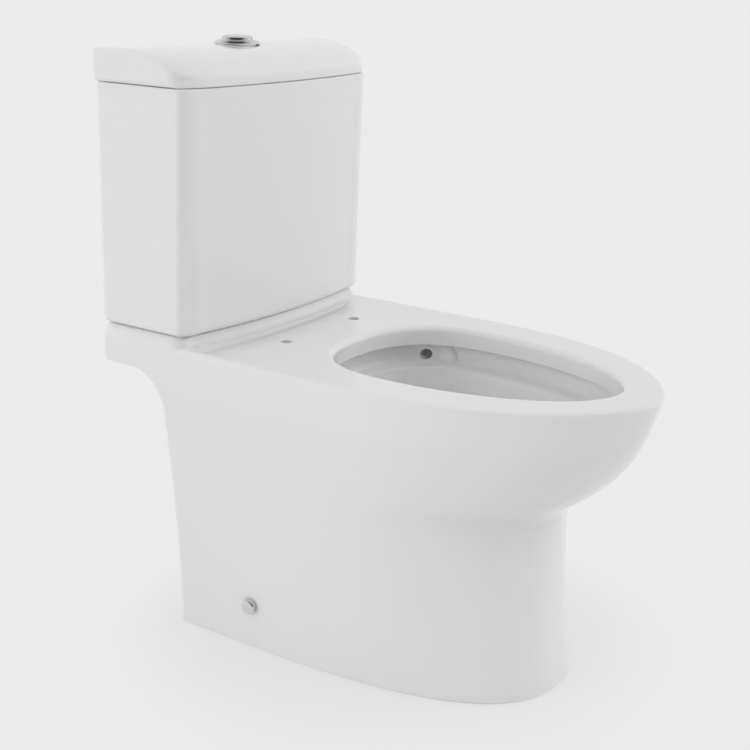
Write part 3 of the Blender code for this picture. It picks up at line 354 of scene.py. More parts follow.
def bowl_profile():
    """The inside of the bowl from the rim down: height, and half width, front and back there."""
    lip_foot = RIM - LIP_HEIGHT
    levels = [(RIM + 0.0015, LIP_ROUND + 0.0010)]
    levels += [(RIM - LIP_ROUND * (1 - cos(turn)), LIP_ROUND * (1 - sin(turn))) for turn in arc(9, 0.06)]
    levels += [(RIM - LIP_HEIGHT * 0.6, 0.0), (lip_foot + LIP_EDGE, 0.0)]
    levels += [(lip_foot + LIP_EDGE * (1 - sin(turn)), LIP_EDGE * (1 - cos(turn))) for turn in arc(4)[1:]]
    levels += [(lip_foot + 0.0002, LIP_UNDERCUT * 0.6)]
    inner = 0.004
    levels += [(lip_foot - inner * (1 - cos(turn)), LIP_UNDERCUT - inner * (1 - sin(turn)))
               for turn in arc(5)]
    levels += [(SHELF + SHELF_ROUND + 0.004, LIP_UNDERCUT)]
    levels += [(SHELF + SHELF_ROUND * (1 - sin(turn)) + 0.002, LIP_UNDERCUT - SHELF_ROUND * (1 - cos(turn)))
               for turn in arc(8)]
    rings = [(z, OPENING_HALF + out, OPENING_FRONT - out, OPENING_REAR + out) for z, out in levels]
    drop = SHELF - SUMP_HEIGHT
    knots = [(SHELF, OPENING_HALF - 0.004, OPENING_FRONT + 0.004, OPENING_REAR - 0.004)]
    for share, narrow, short, near in ((0.06, 0.05, 0.03, 0.05), (0.22, 0.13, 0.10, 0.13),
                                       (0.42, 0.25, 0.25, 0.25), (0.62, 0.40, 0.43, 0.40),
                                       (0.80, 0.55, 0.60, 0.53), (0.93, 0.67, 0.72, 0.64),
                                       (1.00, 0.76, 0.80, 0.72)):
        knots.append((SHELF - drop * share, (OPENING_HALF - 0.002) * (1 - narrow),
                      OPENING_FRONT + (OPENING_MID - OPENING_FRONT) * short,
                      OPENING_REAR - (OPENING_REAR - OPENING_MID) * near))
    return rings + [tuple(k) for k in smooth_path(knots, 5)]


def pan_body():
    """The outer skin, from the foot to the flat top of the rim and the deck."""
    deck_foot = RIM - DECK_THICK
    fillet_foot = deck_foot - OVERHANG_FILLET
    rings = [pan_ring(0.0, inset=FOOT_ROUND), pan_ring(FOOT_STEP, inset=FOOT_ROUND)]
    rings += [pan_ring(FOOT_STEP + FOOT_ROUND * 0.5 * (1 - cos(turn)), inset=FOOT_ROUND * (1 - sin(turn)))
              for turn in arc(5)[1:]]
    lowest = FOOT_STEP + FOOT_ROUND * 0.5
    neck_low, neck_high = 0.19, 0.27
    for low, high, count in ((lowest, neck_low, 14), (neck_low, neck_high, 24), (neck_high, fillet_foot, 5)):
        rings += [pan_ring(z) for z in mix_between(low, high, count)]
    for turn in arc(12)[1:]:
        z = fillet_foot + OVERHANG_FILLET * sin(turn)
        rings.append(pan_ring(z, PEDESTAL_BACK + OVERHANG_FILLET * (1 - cos(turn))))
    flat = REAR - OVERHANG_EDGE
    for rise, back in ((0.0001, (PEDESTAL_BACK + OVERHANG_FILLET + flat) / 2), (0.0002, flat)):
        rings.append(pan_ring(deck_foot + rise, back))
    lowest = deck_foot + 0.0002
    for turn in arc(7)[1:]:
        rings.append(pan_ring(lowest + OVERHANG_EDGE * (1 - cos(turn)), flat + OVERHANG_EDGE * sin(turn)))
    rings += [pan_ring(z, REAR) for z in mix_between(lowest + OVERHANG_EDGE, RIM - RIM_ROUND, 4)]
    rings += [pan_ring(RIM - RIM_ROUND * (1 - sin(turn)), REAR, RIM_ROUND * (1 - cos(turn)))
              for turn in arc(9)[1:]]
    return drawn("china_pan", rings)


def side_face(z):
    """Half the skirt's width at a height."""
    return max(x for x, _, _ in pan_ring(z))


def plinth_body():
    """The raised seat under the cistern: it rolls over to the skirt's sides and back, and in front it
    drops to the deck with a fillet."""
    foot = tank_ring(RIM, PLINTH_INSET, PLINTH_REAR_INSET, PLINTH_ROUNDER)
    edge = [Vector(p) for p in pan_ring(RIM, REAR)]
    sides = list(zip(edge, edge[1:] + edge[:1]))
    rolled = PLINTH_HEIGHT + RIM_ROUND + 0.0005
    sweeps = []
    for i, point in enumerate(foot):
        here = Vector(point)
        along = Vector(foot[(i + 1) % len(foot)]) - Vector(foot[i - 1])
        out = Vector((along.y, -along.x, 0)).normalized()
        ledge = min((near_point(here, *pair) - here).length for pair in sides) - 0.00005
        drop = ease((ledge - LEDGE_ROLLED) / LEDGE_CHANGE)
        roll = [(ledge * sin(turn), PLINTH_TOP - rolled * (1 - cos(turn))) for turn in arc(12)]
        step = [(PLINTH_EDGE * sin(turn), PLINTH_TOP - PLINTH_EDGE * (1 - cos(turn))) for turn in arc(4)]
        step += [(PLINTH_EDGE + PLINTH_FILLET * (1 - cos(turn)),
                  RIM - 0.0001 + PLINTH_FILLET * (1 - sin(turn))) for turn in arc(7)]
        mixed = [(a + (c - a) * drop, b + (d - b) * drop) for (a, b), (c, d) in zip(roll, step)]
        sweeps.append([(here + out * reach, z) for reach, z in mixed])
    rings = [[(*place.xy, z) for place, z in level] for level in zip(*sweeps)]
    under = [(x * 0.97, y * 0.97 + TANK_REAR * 0.018, RIM - 0.016) for x, y, _ in foot]
    return drawn("plinth", [under, *reversed(rings)])


def near_point(point, start, end):
    """The point of a line from start to end that is nearest to a point."""
    run = end - start
    share = (point - start).dot(run) / max(run.length_squared, 1e-12)
    return start + run * min(max(share, 0.0), 1.0)


def make_pan():
    """The skirted pan: its skin and plinth, the hollows behind them, the bowl, the trap and every hole."""
    pan = pan_body()
    boolean(pan, plinth_body(), "UNION")

    # the hollow inside the skirt, open to the floor, and the hollow of the rim above it
    top = SHELF - 0.005
    levels = [-0.002, *mix_between(-0.002, top, 16)]
    hollow = [[(x, y, z) for x, y, _ in pan_ring(max(z, 0.0), inset=WALL, curve=30)] for z in levels]
    boolean(pan, drawn("hollow", hollow))
    side = PAN_HALF - FOOT_TAPER - WALL
    boolean(pan, box("hollow_back", (-side, OPENING_REAR + LIP_UNDERCUT + WALL, top - 0.02),
                     (side, PEDESTAL_BACK - WALL - 0.001, RIM - DECK_PLATE), 0.006))
    channel = [pan_ring(z, OPENING_REAR - 0.048, WALL + 0.005, OPENING_FRONT + 0.030, curve=30)
               for z in (top - 0.020, RIM - RIM_PLATE)]
    boolean(pan, drawn("rim_hollow", channel))

    # bowl skin, trap and waste spigot
    around = LIP_UNDERCUT + WALL
    inside = bowl_profile()
    skin = [oval_ring(z, OPENING_HALF + around, OPENING_FRONT - around, OPENING_REAR + around, 96)
            for z in (RIM - RIM_PLATE + 0.004, SHELF + 0.004)]
    skin += [oval_ring(z, half + WALL, front - WALL, back + WALL, 96)
             for z, half, front, back in inside if z < SHELF - 0.001]
    z, half, front, back = inside[-1]
    skin.append(oval_ring(z - WALL, half, front, back, 96))
    boolean(pan, drawn("skin", skin), "UNION")
    run = PEDESTAL_BACK + SPIGOT_REACH - back
    route = smooth_path([(0, back - 0.035, SUMP_HEIGHT + 0.020), (0, back + run * 0.10, SUMP_HEIGHT - 0.016),
                         (0, back + run * 0.30, SUMP_HEIGHT + 0.004),
                         (0, back + run * 0.46, SPIGOT_HEIGHT - 0.004),
                         (0, back + run * 0.60, SPIGOT_HEIGHT + 0.026),
                         (0, back + run * 0.76, SPIGOT_HEIGHT + 0.006),
                         (0, back + run * 0.90, SPIGOT_HEIGHT)], 6)
    end = Vector((0, PEDESTAL_BACK + SPIGOT_REACH, SPIGOT_HEIGHT))
    boolean(pan, pipe("trap", [*route, end], TRAP_R + TRAP_WALL), "UNION")
    boolean(pan, drawn("bowl", [oval_ring(*level) for level in inside]))
    boolean(pan, pipe("trap_bore", [*route, end + Vector((0, 0.01, 0))], TRAP_R))

    # flush chamber in the deck, its inlet and the two water outlets under the lip
    chamber_top = RIM - CHAMBER_ROOF
    boolean(pan, box("chamber", (-CHAMBER_HALF, OPENING_REAR + 0.043, chamber_top - CHAMBER_TALL),
                     (CHAMBER_HALF, VALVE.y + 0.040, chamber_top), 0.004))
    outlet = outlet_place()
    for side in (-1, 1):
        boolean(pan, outlet_ridge(side), "UNION")
        start = Vector((side * 0.034, OPENING_REAR + 0.053, chamber_top - CHAMBER_TALL / 2))
        mouth = Vector((side * outlet.x, outlet.y, outlet.z))
        bore = [mouth + Vector((side * reach, 0, 0)) for reach in (-0.016, 0.030)]
        boolean(pan, pipe("bore", bore, OUTLET_R))
        boolean(pan, pipe("duct", [start, mouth + Vector((side * 0.010, 0.006, 0))], OUTLET_R * 0.9))
    recess = PLINTH_TOP - RECESS_DEPTH
    drill(pan, (0, VALVE.y, 0), TAIL_R + RECESS_BEYOND_TAIL, recess, PLINTH_TOP, mouth=0.0015)
    drill(pan, (0, VALVE.y, 0), TAIL_R + INLET_BEYOND_TAIL, chamber_top - 0.004, recess)

    # seat, bolt, screw and fill valve holes
    for side in (-1, 1):
        drill(pan, (side * SEAT_HOLE.x, SEAT_HOLE.y, 0), SEAT_HOLE_R, RIM - DECK_PLATE - 0.01, RIM,
              mouth=HOLE_MOUTH)
        drill(pan, (side * BOLT.x, BOLT.y, 0), DECK_BOLT_HOLE_R, RIM - DECK_THICK - 0.01, PLINTH_TOP,
              mouth=HOLE_MOUTH)
        inner, outer = (side * (side_face(SCREW_Z) + reach) for reach in (-0.03, 0.03))
        hole = [(0, inner), (SCREW_HOLE_R, inner), (SCREW_HOLE_R, outer), (0, outer)]
        boolean(pan, turned("screw_hole", hole, (0, SCREW_Y, SCREW_Z), "X", 24))
    drill(pan, (FILL.x, FILL.y, 0), DECK_FILL_HOLE_R, RIM - DECK_THICK - 0.02, PLINTH_TOP, mouth=HOLE_MOUTH)
    return pan


def wall_at(y):
    """Half the width of the bowl under its lip."""
    reach = (y - OPENING_MID) / (OPENING_REAR + LIP_UNDERCUT - OPENING_MID)
    return (OPENING_HALF + LIP_UNDERCUT) * (1 - reach ** 2.4) ** (1 / 2.4)


def outlet_place():
    """Where the right water outlet opens in the wall under the lip."""
    y = OPENING_REAR - OUTLET_TO_REAR
    return Vector((wall_at(y), y, RIM - OUTLET_DROP))


def outlet_ridge(side):
    """The soft ridge in front of each water outlet, which turns the water along the shelf."""
    bpy.ops.object.select_all(action="DESELECT")
    bpy.ops.mesh.primitive_uv_sphere_add(segments=48, ring_count=32, radius=1.0)
    ridge = bpy.context.object
    ridge.name = "ridge"
    bpy.ops.object.mode_set(mode="EDIT")
    bpy.ops.transform.resize(value=RIDGE_HALF_SIZES)
    bpy.ops.object.mode_set(mode="OBJECT")
    outlet = outlet_place()
    y = outlet.y - RIDGE_AHEAD
    ridge.data.transform(Matrix.Translation((side * (wall_at(y) + RIDGE_SUNK), y, outlet.z - RIDGE_BELOW)))
    return ridge


# ---- cistern and lid -----------------------------------------------------------------------------
def tank_ring(z, inset=0.0, rear_inset=None, rounder=0.0):
    """The cistern's plan: bowed front, round front corners and squarer back ones."""
    share = min(max((z - TANK_FOOT) / (TANK_TOP - TANK_FOOT), 0.0), 1.0)
    half = TANK_HALF - inset
    rear = TANK_REAR - (inset if rear_inset is None else rear_inset)
    front = TANK_FRONT - TANK_LEAN * share + inset
    corner = TANK_CORNER - inset + rounder
    deep = max(TANK_CORNER_DEEP - inset, 0.004) + rounder
    back_corner = max(TANK_BACK_CORNER - inset, 0.003)
    bow, count = [], 24
    for i in range(count):
        x = (half - corner) * i / (count - 1)
        bow.append((x, front + TANK_BOW * (x / TANK_HALF) ** 2))
    step = bow[-1][1]
    right = bow + [(half - corner + corner * sin(turn), step + deep * (1 - cos(turn)))
                   for turn in arc(14)[1:]]
    straight = rear - back_corner - right[-1][1]
    right += [(half, right[-1][1] + straight * i / 8) for i in range(1, 8)]
    right += [(half - back_corner + back_corner * cos(turn), rear - back_corner + back_corner * sin(turn))
              for turn in arc(7)]
    right += [((half - back_corner) * (1 - i / 8), rear) for i in range(1, 8)]
    left = [(-x, y) for x, y in reversed(right[1:])]
    return [(x, y, z) for x, y in [*right, (0.0, rear), *left]]


def make_cistern():
    """One skin up the outside, over the top edge and down the inside to the floor."""
    rings = [tank_ring(TANK_FOOT + TANK_EDGE * (1 - cos(turn)), TANK_EDGE * (1 - sin(turn)))
             for turn in arc(9)]
    rings += [tank_ring(z) for z in mix_between(TANK_FOOT + TANK_EDGE, TANK_TOP - TANK_LIP, 8)]
    rings += [tank_ring(TANK_TOP - TANK_LIP * (1 - sin(turn)), TANK_LIP * 0.8 * (1 - cos(turn)))
              for turn in arc(6)[1:]]
    edge, fillet = TANK_MOUTH_EDGE, TANK_FLOOR_FILLET
    rings += [tank_ring(TANK_TOP - edge * (1 - cos(turn)), TANK_WALL - edge * (1 - sin(turn)))
              for turn in arc(4)]
    floor = TANK_FOOT + TANK_FLOOR
    rings += [tank_ring(z, TANK_WALL) for z in mix_between(TANK_TOP - edge, floor + fillet, 5)]
    rings += [tank_ring(floor + fillet * (1 - sin(turn)), TANK_WALL + fillet * 0.75 * (1 - cos(turn)))
              for turn in arc(6)[1:]]
    tank = drawn("china_cistern", rings)
    for x, y, radius in ((0, VALVE.y, TAIL_R + TAIL_HOLE_GAP), (FILL.x, FILL.y, TANK_FILL_HOLE_R),
                         (-BOLT.x, BOLT.y, TANK_BOLT_HOLE_R), (BOLT.x, BOLT.y, TANK_BOLT_HOLE_R)):
        drill(tank, (x, y, 0), radius, TANK_FOOT - 0.01, floor, mouth=HOLE_MOUTH)
    return tank


def lid_front(x):
    """The lid's front edge at x: a shallow bow with round corners."""
    front = LID_LOW.y + TANK_BOW * (x / LID_HALF) ** 2
    into = abs(x) - (LID_HALF - LID_CORNER)
    if into > 0:
        front += LID_CORNER_DEEP * (1 - sqrt(max(1 - (into / LID_CORNER) ** 2, 0.0)))
    return front


def lid_rise(back):
    """The lid's height above its foot, this far behind its front edge."""
    share = min(max(back / LID_ROLL, 0.0), 1.0)
    return LID_EDGE + (LID_CROWN - LID_FOOT - LID_EDGE) * sqrt(1 - (1 - share) ** 2.2)


def lid_section(x, inset):
    """The lid's outline at x: an upright front edge that rolls over to a flat crown."""
    front, back, foot = lid_front(x) + inset, REAR - inset, LID_FOOT + inset * 0.8
    crown = LID_CROWN - inset
    points = [(front + LID_FOOT_EDGE * (1 - sin(turn)), foot + LID_FOOT_EDGE * (1 - cos(turn)))
              for turn in arc(5)]
    count = 30
    for i in range(count + 1):
        share = (i / count) ** 2
        points.append((front + LID_ROLL * share, LID_FOOT + lid_rise(LID_ROLL * share) - inset * (i / count)))
    points.append((back - 0.035, crown - 0.0002))
    edge = LID_REAR_EDGE
    points += [(back - edge * (1 - sin(turn)), crown - 0.0010 - edge * (1 - cos(turn))) for turn in arc(5)]
    edge = LID_SIDE_EDGE
    points += [(back - edge * (1 - cos(turn)), foot + edge * (1 - sin(turn))) for turn in arc(5)]
    points.append(((front + back) / 2, foot))
    return [(x, y, z) for y, z in points]


def make_lid():
    """The lid: sections from side to side, a rib that sits in the cistern, and a hollow under its crown."""
    edge = LID_SIDE_EDGE
    right = [(LID_HALF - edge * (1 - sin(turn)), edge * (1 - cos(turn))) for turn in reversed(arc(8))]
    right += [(LID_HALF - LID_CORNER + LID_CORNER * sin(turn), 0.0) for turn in reversed(arc(14, 0.0, 0.56))]
    right += [((LID_HALF - LID_CORNER) * (1 - i / 12), 0.0) for i in range(1, 12)]
    places = [(-x, inset) for x, inset in right] + [(0.0, 0.0)] + list(reversed(right))
    lid = drawn("china_lid", [lid_section(x, inset) for x, inset in places])
    rib_inset = TANK_WALL + LID_RIB_GAP
    rib = [tank_ring(z, rib_inset) for z in (TANK_TOP - LID_RIB, LID_FOOT + 0.006)]
    boolean(lid, drawn("rib", rib), "UNION")
    plan = tank_ring(LID_FOOT, rib_inset + LID_RIB_WALL)
    hollow = [[(x, y, z) for x, y, _ in plan] for z in (TANK_TOP - LID_RIB - 0.005, LID_FOOT + 0.003)]
    nearest = min(y for _, y, _ in plan)
    flat_from = NUT_LOW.y - 0.002
    ceiling = NUT_HIGH.z + 0.0004
    for share in (0.0, 0.15, 0.30, 0.48, 0.65, 0.82, 1.0):
        limit = nearest + (flat_from - nearest) * share
        under_skin = LID_FOOT + lid_rise(limit - lid_front(0.0)) - LID_WALL
        z = ceiling if share == 1.0 else min(under_skin, ceiling - 0.001)
        hollow.append([(x, max(y, limit), z) for x, y, _ in plan])
    boolean(lid, drawn("lid_hollow", hollow))
    hole_r = BORE_R + BARREL_WALL + 0.0012
    return drill(lid, (BUTTON.x, BUTTON.y, 0), hole_r, LID_FOOT, LID_CROWN, mouth=0.0008)


# ---- push button ---------------------------------------------------------------------------------
def make_bezel():
    """A chrome ring with a steep side on a thin flange, and a plain barrel below."""
    top, foot = BEZEL_HIGH.z, BEZEL_LOW.z
    base = top - BEZEL_HEIGHT
    barrel = BORE_R + BARREL_WALL
    edge = 0.0010
    profile = [(BORE_R, foot), (BORE_R, top - edge)]
    profile += [(BORE_R + edge * (1 - cos(turn)), top - edge * (1 - sin(turn))) for turn in arc(5)[1:]]
    rim, edge = BEZEL_R - 0.0022, 0.0006
    profile += [(rim - edge + edge * sin(turn), top - edge * (1 - cos(turn))) for turn in arc(5)]
    profile += [(rim + 0.0005, base + 0.0011), (rim + 0.0009, base + 0.0006)]
    profile += [(BEZEL_R - 0.0004, base + 0.0004)]
    profile += [(BEZEL_R, base), (barrel, base), (barrel, foot)]
    return turned("chrome_bezel", profile, (BUTTON.x, BUTTON.y, 0), steps=128)


def make_button(name, side):
    """One part of the split dome, with the edges of its cut eased."""
    button = turned(name, dome_profile(BEZEL_HIGH.z + 0.0008), (BUTTON.x, BUTTON.y, 0), steps=128)
    cut = SPLIT + side * SPLIT_GAP / 2
    alone(button)
    bpy.ops.object.mode_set(mode="EDIT")
    bpy.ops.mesh.select_all(action="SELECT")
    bpy.ops.mesh.bisect(plane_co=(cut, 0, 0), plane_no=(1, 0, 0), use_fill=True, clear_inner=side > 0,
                        clear_outer=side < 0)
    bpy.ops.object.mode_set(mode="OBJECT")
    bevel = button.modifiers.new("ease", "BEVEL")
    bevel.width, bevel.segments, bevel.limit_method, bevel.angle_limit = 0.0005, 3, "ANGLE", radians(50)
    bpy.ops.object.modifier_apply(modifier=bevel.name)
    bpy.ops.object.mode_set(mode="EDIT")
    return closed(button)


def dome_profile(shoulder):
    """Upright to a narrow ledge, then a steep low side and a soft round edge into a shallow dome."""
    ease_in, ledge = 0.0004, 0.0028
    profile = [(0, DOME_FOOT), (DOME_R, DOME_FOOT)]
    profile += [(DOME_R, shoulder - ease_in), (DOME_R - ease_in, shoulder)]
    radius, rise = DOME_R - ledge, DOME_TOP - shoulder
    profile += [(radius + ease_in, shoulder + 0.0002), (radius, shoulder + 0.0006)]
    side_top = shoulder + rise * 0.34
    edge_out, edge_up = radius * 0.36, DOME_TOP - side_top - rise * 0.12
    profile += [(radius - ease_in - edge_out * (1 - cos(turn)), side_top + edge_up * sin(turn))
                for turn in arc(12, 0.0, 0.84)]
    last_r, last_z = profile[-1]
    for i in range(1, 9):
        r = last_r * (1 - i / 8)
        profile.append((r, last_z + (DOME_TOP - last_z) * (1 - (r / last_r) ** 2)))
    return profile


def make_cap(name, side):
    """A round chrome cap over the screw in the skirt's side, hollow behind, with a slightly crowned face."""
    low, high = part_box("fixing_cap_" + name)
    near, far = (low.x, high.x) if side > 0 else (high.x, low.x)
    centre = (low + high) / 2
    radius = (high.y - low.y) / 2
    length = abs(far - near)
    side_top = length - CAP_EDGE - CAP_CROWN
    profile = [(0, CAP_HOLLOW_DEPTH), (CAP_HOLLOW_R, CAP_HOLLOW_DEPTH), (CAP_HOLLOW_R, 0), (radius, 0)]
    profile += [(radius - CAP_EDGE * (1 - cos(turn)), side_top + CAP_EDGE * sin(turn)) for turn in arc(7)]
    last_r, last_z = profile[-1]
    for i in range(1, 6):
        r = last_r * (1 - i / 5)
        profile.append((r, last_z + (length - last_z) * (1 - (r / last_r) ** 2)))
    along = [(r, near + side * reach) for r, reach in profile]
    return turned("chrome_cap_" + name, along, (0, centre.y, centre.z), "X", 72)


# ---- works: eased copies of the frame's nodes -----------------------------------------------------
def copied(node):
    """A copy of a frame node's mesh as a piece of its own."""
    piece = bpy.data.objects.new("eased_" + node, frame["nodes"][node].data.copy())
    piece.data.name = piece.name
    bpy.context.scene.collection.objects.link(piece)
    alone(piece)
    return piece


def press_spring(piece):
    """Gives a spring a mesh of its own, apart from the frame's node."""
    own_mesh(piece)


def eased(node, width, segments=2, angle=32):
    """A copy of a frame node with its doubles merged and its sharp edges rounded."""
    piece = copied(node)
    bpy.ops.object.mode_set(mode="EDIT")
    bpy.ops.mesh.select_all(action="SELECT")
    bpy.ops.mesh.remove_doubles(threshold=1e-5)
    bpy.ops.mesh.dissolve_limited(angle_limit=radians(1.0))
    bpy.ops.object.mode_set(mode="OBJECT")
    bevel = piece.modifiers.new("ease", "BEVEL")
    bevel.width, bevel.segments, bevel.limit_method = width, segments, "ANGLE"
    bevel.angle_limit = radians(angle)
    bevel.use_clamp_overlap = True
    bpy.ops.object.modifier_apply(modifier=bevel.name)
    return piece


# ---- materials -----------------------------------------------------------------------------------
def linear(code):
    """An sRGB hex colour as linear red, green, blue and alpha."""
    parts = [int(code[i:i + 2], 16) / 255 for i in (1, 3, 5)]
    return (*[c / 12.92 if c <= 0.04045 else ((c + 0.055) / 1.055) ** 2.4 for c in parts], 1.0)


def add(tree, kind, values=None, links=None, **settings):
    """Adds a node with its settings, its input values and its links."""
    made = tree.nodes.new(kind)
    for name, value in settings.items():
        setattr(made, name, value)
    for name, value in (values or {}).items():
        made.inputs[name].default_value = value
    for name, source in (links or {}).items():
        tree.links.new(source, made.inputs[name])
    return made


def blank(name):
    """A new material with only its shader and output, and the object's coordinates."""
    made = bpy.data.materials.new(name)
    made.use_nodes = True
    tree = made.node_tree
    shader = next(n for n in tree.nodes if n.type == "BSDF_PRINCIPLED")
    place = add(tree, "ShaderNodeTexCoord").outputs["Object"]
    return made, tree, shader, place


def glazed_china():
    """Slip-cast vitreous china under a fired clear glaze: white and wet-looking, with a faint orange peel
    that softens what it reflects, and a matt unglazed ring where the foot stood in the kiln."""
    made, tree, shader, place = blank("glazed_vitreous_china")
    height = add(tree, "ShaderNodeSeparateXYZ", links={"Vector": place}).outputs["Z"]
    glazed = add(tree, "ShaderNodeMapRange", {"From Min": 0.0008, "From Max": 0.0014},
                 {"Value": height}).outputs["Result"]
    # the glaze is a shade thicker in clouds of some 111 mm
    cloud = add(tree, "ShaderNodeTexNoise", {"Scale": 1 / 0.111, "Detail": 3.0}, {"Vector": place})
    tone = add(tree, "ShaderNodeMix", {"A": linear("#E9E9E9"), "B": linear("#ECECEC")},
               {"Factor": cloud.outputs["Fac"]}, data_type="RGBA").outputs["Result"]
    body = add(tree, "ShaderNodeMix", {"A": linear("#CFC9BC")}, {"Factor": glazed, "B": tone},
               data_type="RGBA")
    rough = add(tree, "ShaderNodeMapRange", {"To Min": 0.85, "To Max": 0.25}, {"Value": glazed})
    tree.links.new(body.outputs["Result"], shader.inputs["Base Color"])
    tree.links.new(rough.outputs["Result"], shader.inputs["Roughness"])
    tree.links.new(glazed, shader.inputs["Coat Weight"])
    shader.inputs["Coat Roughness"].default_value = 0.09
    shader.inputs["Coat IOR"].default_value = 1.52
    shader.inputs["IOR"].default_value = 1.50
    # orange peel of about 7 mm from the spray, on a swell of about 38 mm from the cast body
    peel, swell = (add(tree, "ShaderNodeTexNoise", {"Scale": 1 / size, "Detail": 1.0}, {"Vector": place})
                   for size in (0.00714, 0.0385))
    both = add(tree, "ShaderNodeMath", links={0: peel.outputs["Fac"], 1: swell.outputs["Fac"]},
               operation="ADD")
    bump = add(tree, "ShaderNodeBump", {"Strength": 0.05, "Distance": 0.0003},
               {"Height": both.outputs["Value"]}).outputs["Normal"]
    tree.links.new(bump, shader.inputs["Normal"])
    tree.links.new(bump, shader.inputs["Coat Normal"])
    return made


def chrome_plate():
    """Bright nickel-chrome plate on moulded ABS: mirror bright, with a faint haze of fine wiping marks."""
    made, tree, shader, place = blank("bright_chrome_plate")
    shader.inputs["Metallic"].default_value = 1.0
    # wiping marks are well under 0.1 mm: drawn 2.4 mm across, so that they show
    marks = add(tree, "ShaderNodeTexNoise", {"Scale": 1 / 0.00238, "Detail": 4.0}, {"Vector": place})
    haze = marks.outputs["Fac"]
    rough = add(tree, "ShaderNodeMapRange",
                {"From Min": 0.3, "From Max": 0.7, "To Min": 0.04, "To Max": 0.10}, {"Value": haze})
    tree.links.new(rough.outputs["Result"], shader.inputs["Roughness"])
    shade = add(tree, "ShaderNodeMix", {"A": linear("#D6D7D8"), "B": linear("#E1E1E3")}, {"Factor": haze},
                data_type="RGBA")
    tree.links.new(shade.outputs["Result"], shader.inputs["Base Color"])
    return made


def moulded_plastic(name, first, second, rough, grain):
    """Injection moulded plastic from a spark eroded tool: an even colour with a fine matt grain."""
    made, tree, shader, place = blank(name)
    # flow marks some 29 mm across, then the tool's grain at its own size
    cloud = add(tree, "ShaderNodeTexNoise", {"Scale": 1 / 0.0286, "Detail": 2.0}, {"Vector": place})
    tone = add(tree, "ShaderNodeMix", {"A": linear(first), "B": linear(second)},
               {"Factor": cloud.outputs["Fac"]}, data_type="RGBA")
    tree.links.new(tone.outputs["Result"], shader.inputs["Base Color"])
    pits = add(tree, "ShaderNodeTexNoise", {"Scale": 1 / grain, "Detail": 2.0},
               {"Vector": place}).outputs["Fac"]
    matt = add(tree, "ShaderNodeMapRange", {"From Min": 0.3, "From Max": 0.7, "To Min": rough - 0.05,
                                            "To Max": rough + 0.07}, {"Value": pits})
    tree.links.new(matt.outputs["Result"], shader.inputs["Roughness"])
    bump = add(tree, "ShaderNodeBump", {"Strength": 0.18, "Distance": 0.0001}, {"Height": pits})
    tree.links.new(bump.outputs["Normal"], shader.inputs["Normal"])
    return made


def moulded_rubber():
    """Moulded EPDM: near black and soft, with a grey bloom in patches."""
    made = moulded_plastic("moulded_epdm_rubber", "#1B1B1C", "#2A2A2B", 0.62, 0.0006)
    made.node_tree.nodes["Principled BSDF"].inputs["IOR"].default_value = 1.52
    return made


def turned_metal(name, first, second, rough, spacing):
    """Turned or drawn metal: fine rings of tool marks along its axis."""
    made, tree, shader, place = blank(name)
    shader.inputs["Metallic"].default_value = 1.0
    # a wave of scale 1 has bands 314 mm apart, and the marks are drawn six times as coarse, to show
    scale = 0.314 / (spacing * 6.28)
    rings = add(tree, "ShaderNodeTexWave", {"Scale": scale, "Distortion": 1.5, "Detail": 2.0},
                {"Vector": place}, wave_type="BANDS", bands_direction="Z").outputs["Fac"]
    tone = add(tree, "ShaderNodeMix", {"A": linear(first), "B": linear(second)}, {"Factor": rings},
               data_type="RGBA")
    tree.links.new(tone.outputs["Result"], shader.inputs["Base Color"])
    groove = add(tree, "ShaderNodeMapRange", {"To Min": rough - 0.06, "To Max": rough + 0.06},
                 {"Value": rings})
    tree.links.new(groove.outputs["Result"], shader.inputs["Roughness"])
    bump = add(tree, "ShaderNodeBump", {"Strength": 0.12, "Distance": 0.0001}, {"Height": rings})
    tree.links.new(bump.outputs["Normal"], shader.inputs["Normal"])
    return made


# ---- studio --------------------------------------------------------------------------------------
def make_camera():
    """From the front left and a little above, with a long lens."""
    azimuth, elevation, roll = radians(-56.09), radians(17.12), radians(1.58)
    distance, target = 1.7839, Vector((-0.0127, 0.0374, 0.3588))
    away = Vector((cos(elevation) * sin(azimuth), -cos(elevation) * cos(azimuth), sin(elevation)))
    data = bpy.data.cameras.new("camera")
    data.lens, data.sensor_width = 66.46, 36.0
    camera = bpy.data.objects.new("camera", data)
    bpy.context.scene.collection.objects.link(camera)
    camera.location = target + away * distance
    aim = (-away).to_track_quat("-Z", "Y").to_matrix() @ Matrix.Rotation(roll, 3, "Z")
    camera.rotation_euler = aim.to_euler()
    bpy.context.scene.camera = camera


def make_lamp(name, azimuth, elevation, strength):
    """A broad soft lamp far away in this direction, flagged off from what mirrors it."""
    data = bpy.data.lights.new(name, "SUN")
    data.energy, data.angle = strength, radians(60)
    lamp = bpy.data.objects.new(name, data)
    bpy.context.scene.collection.objects.link(lamp)
    azimuth, elevation = radians(azimuth), radians(elevation)
    towards = Vector((cos(elevation) * sin(azimuth), -cos(elevation) * cos(azimuth), sin(elevation)))
    lamp.rotation_euler = (-towards).to_track_quat("-Z", "Y").to_euler()
    lamp.visible_glossy = False


def seen_rays(tree):
    """One for rays that show the plain background: those of the camera, and those in metal and glass."""
    path = add(tree, "ShaderNodeLightPath").outputs
    shown = path["Is Camera Ray"]
    for ray in ("Is Glossy Ray", "Is Transmission Ray"):
        either = add(tree, "ShaderNodeMath", links={0: shown, 1: path[ray]}, operation="MAXIMUM")
        shown = either.outputs["Value"]
    return shown, path["Is Glossy Ray"]


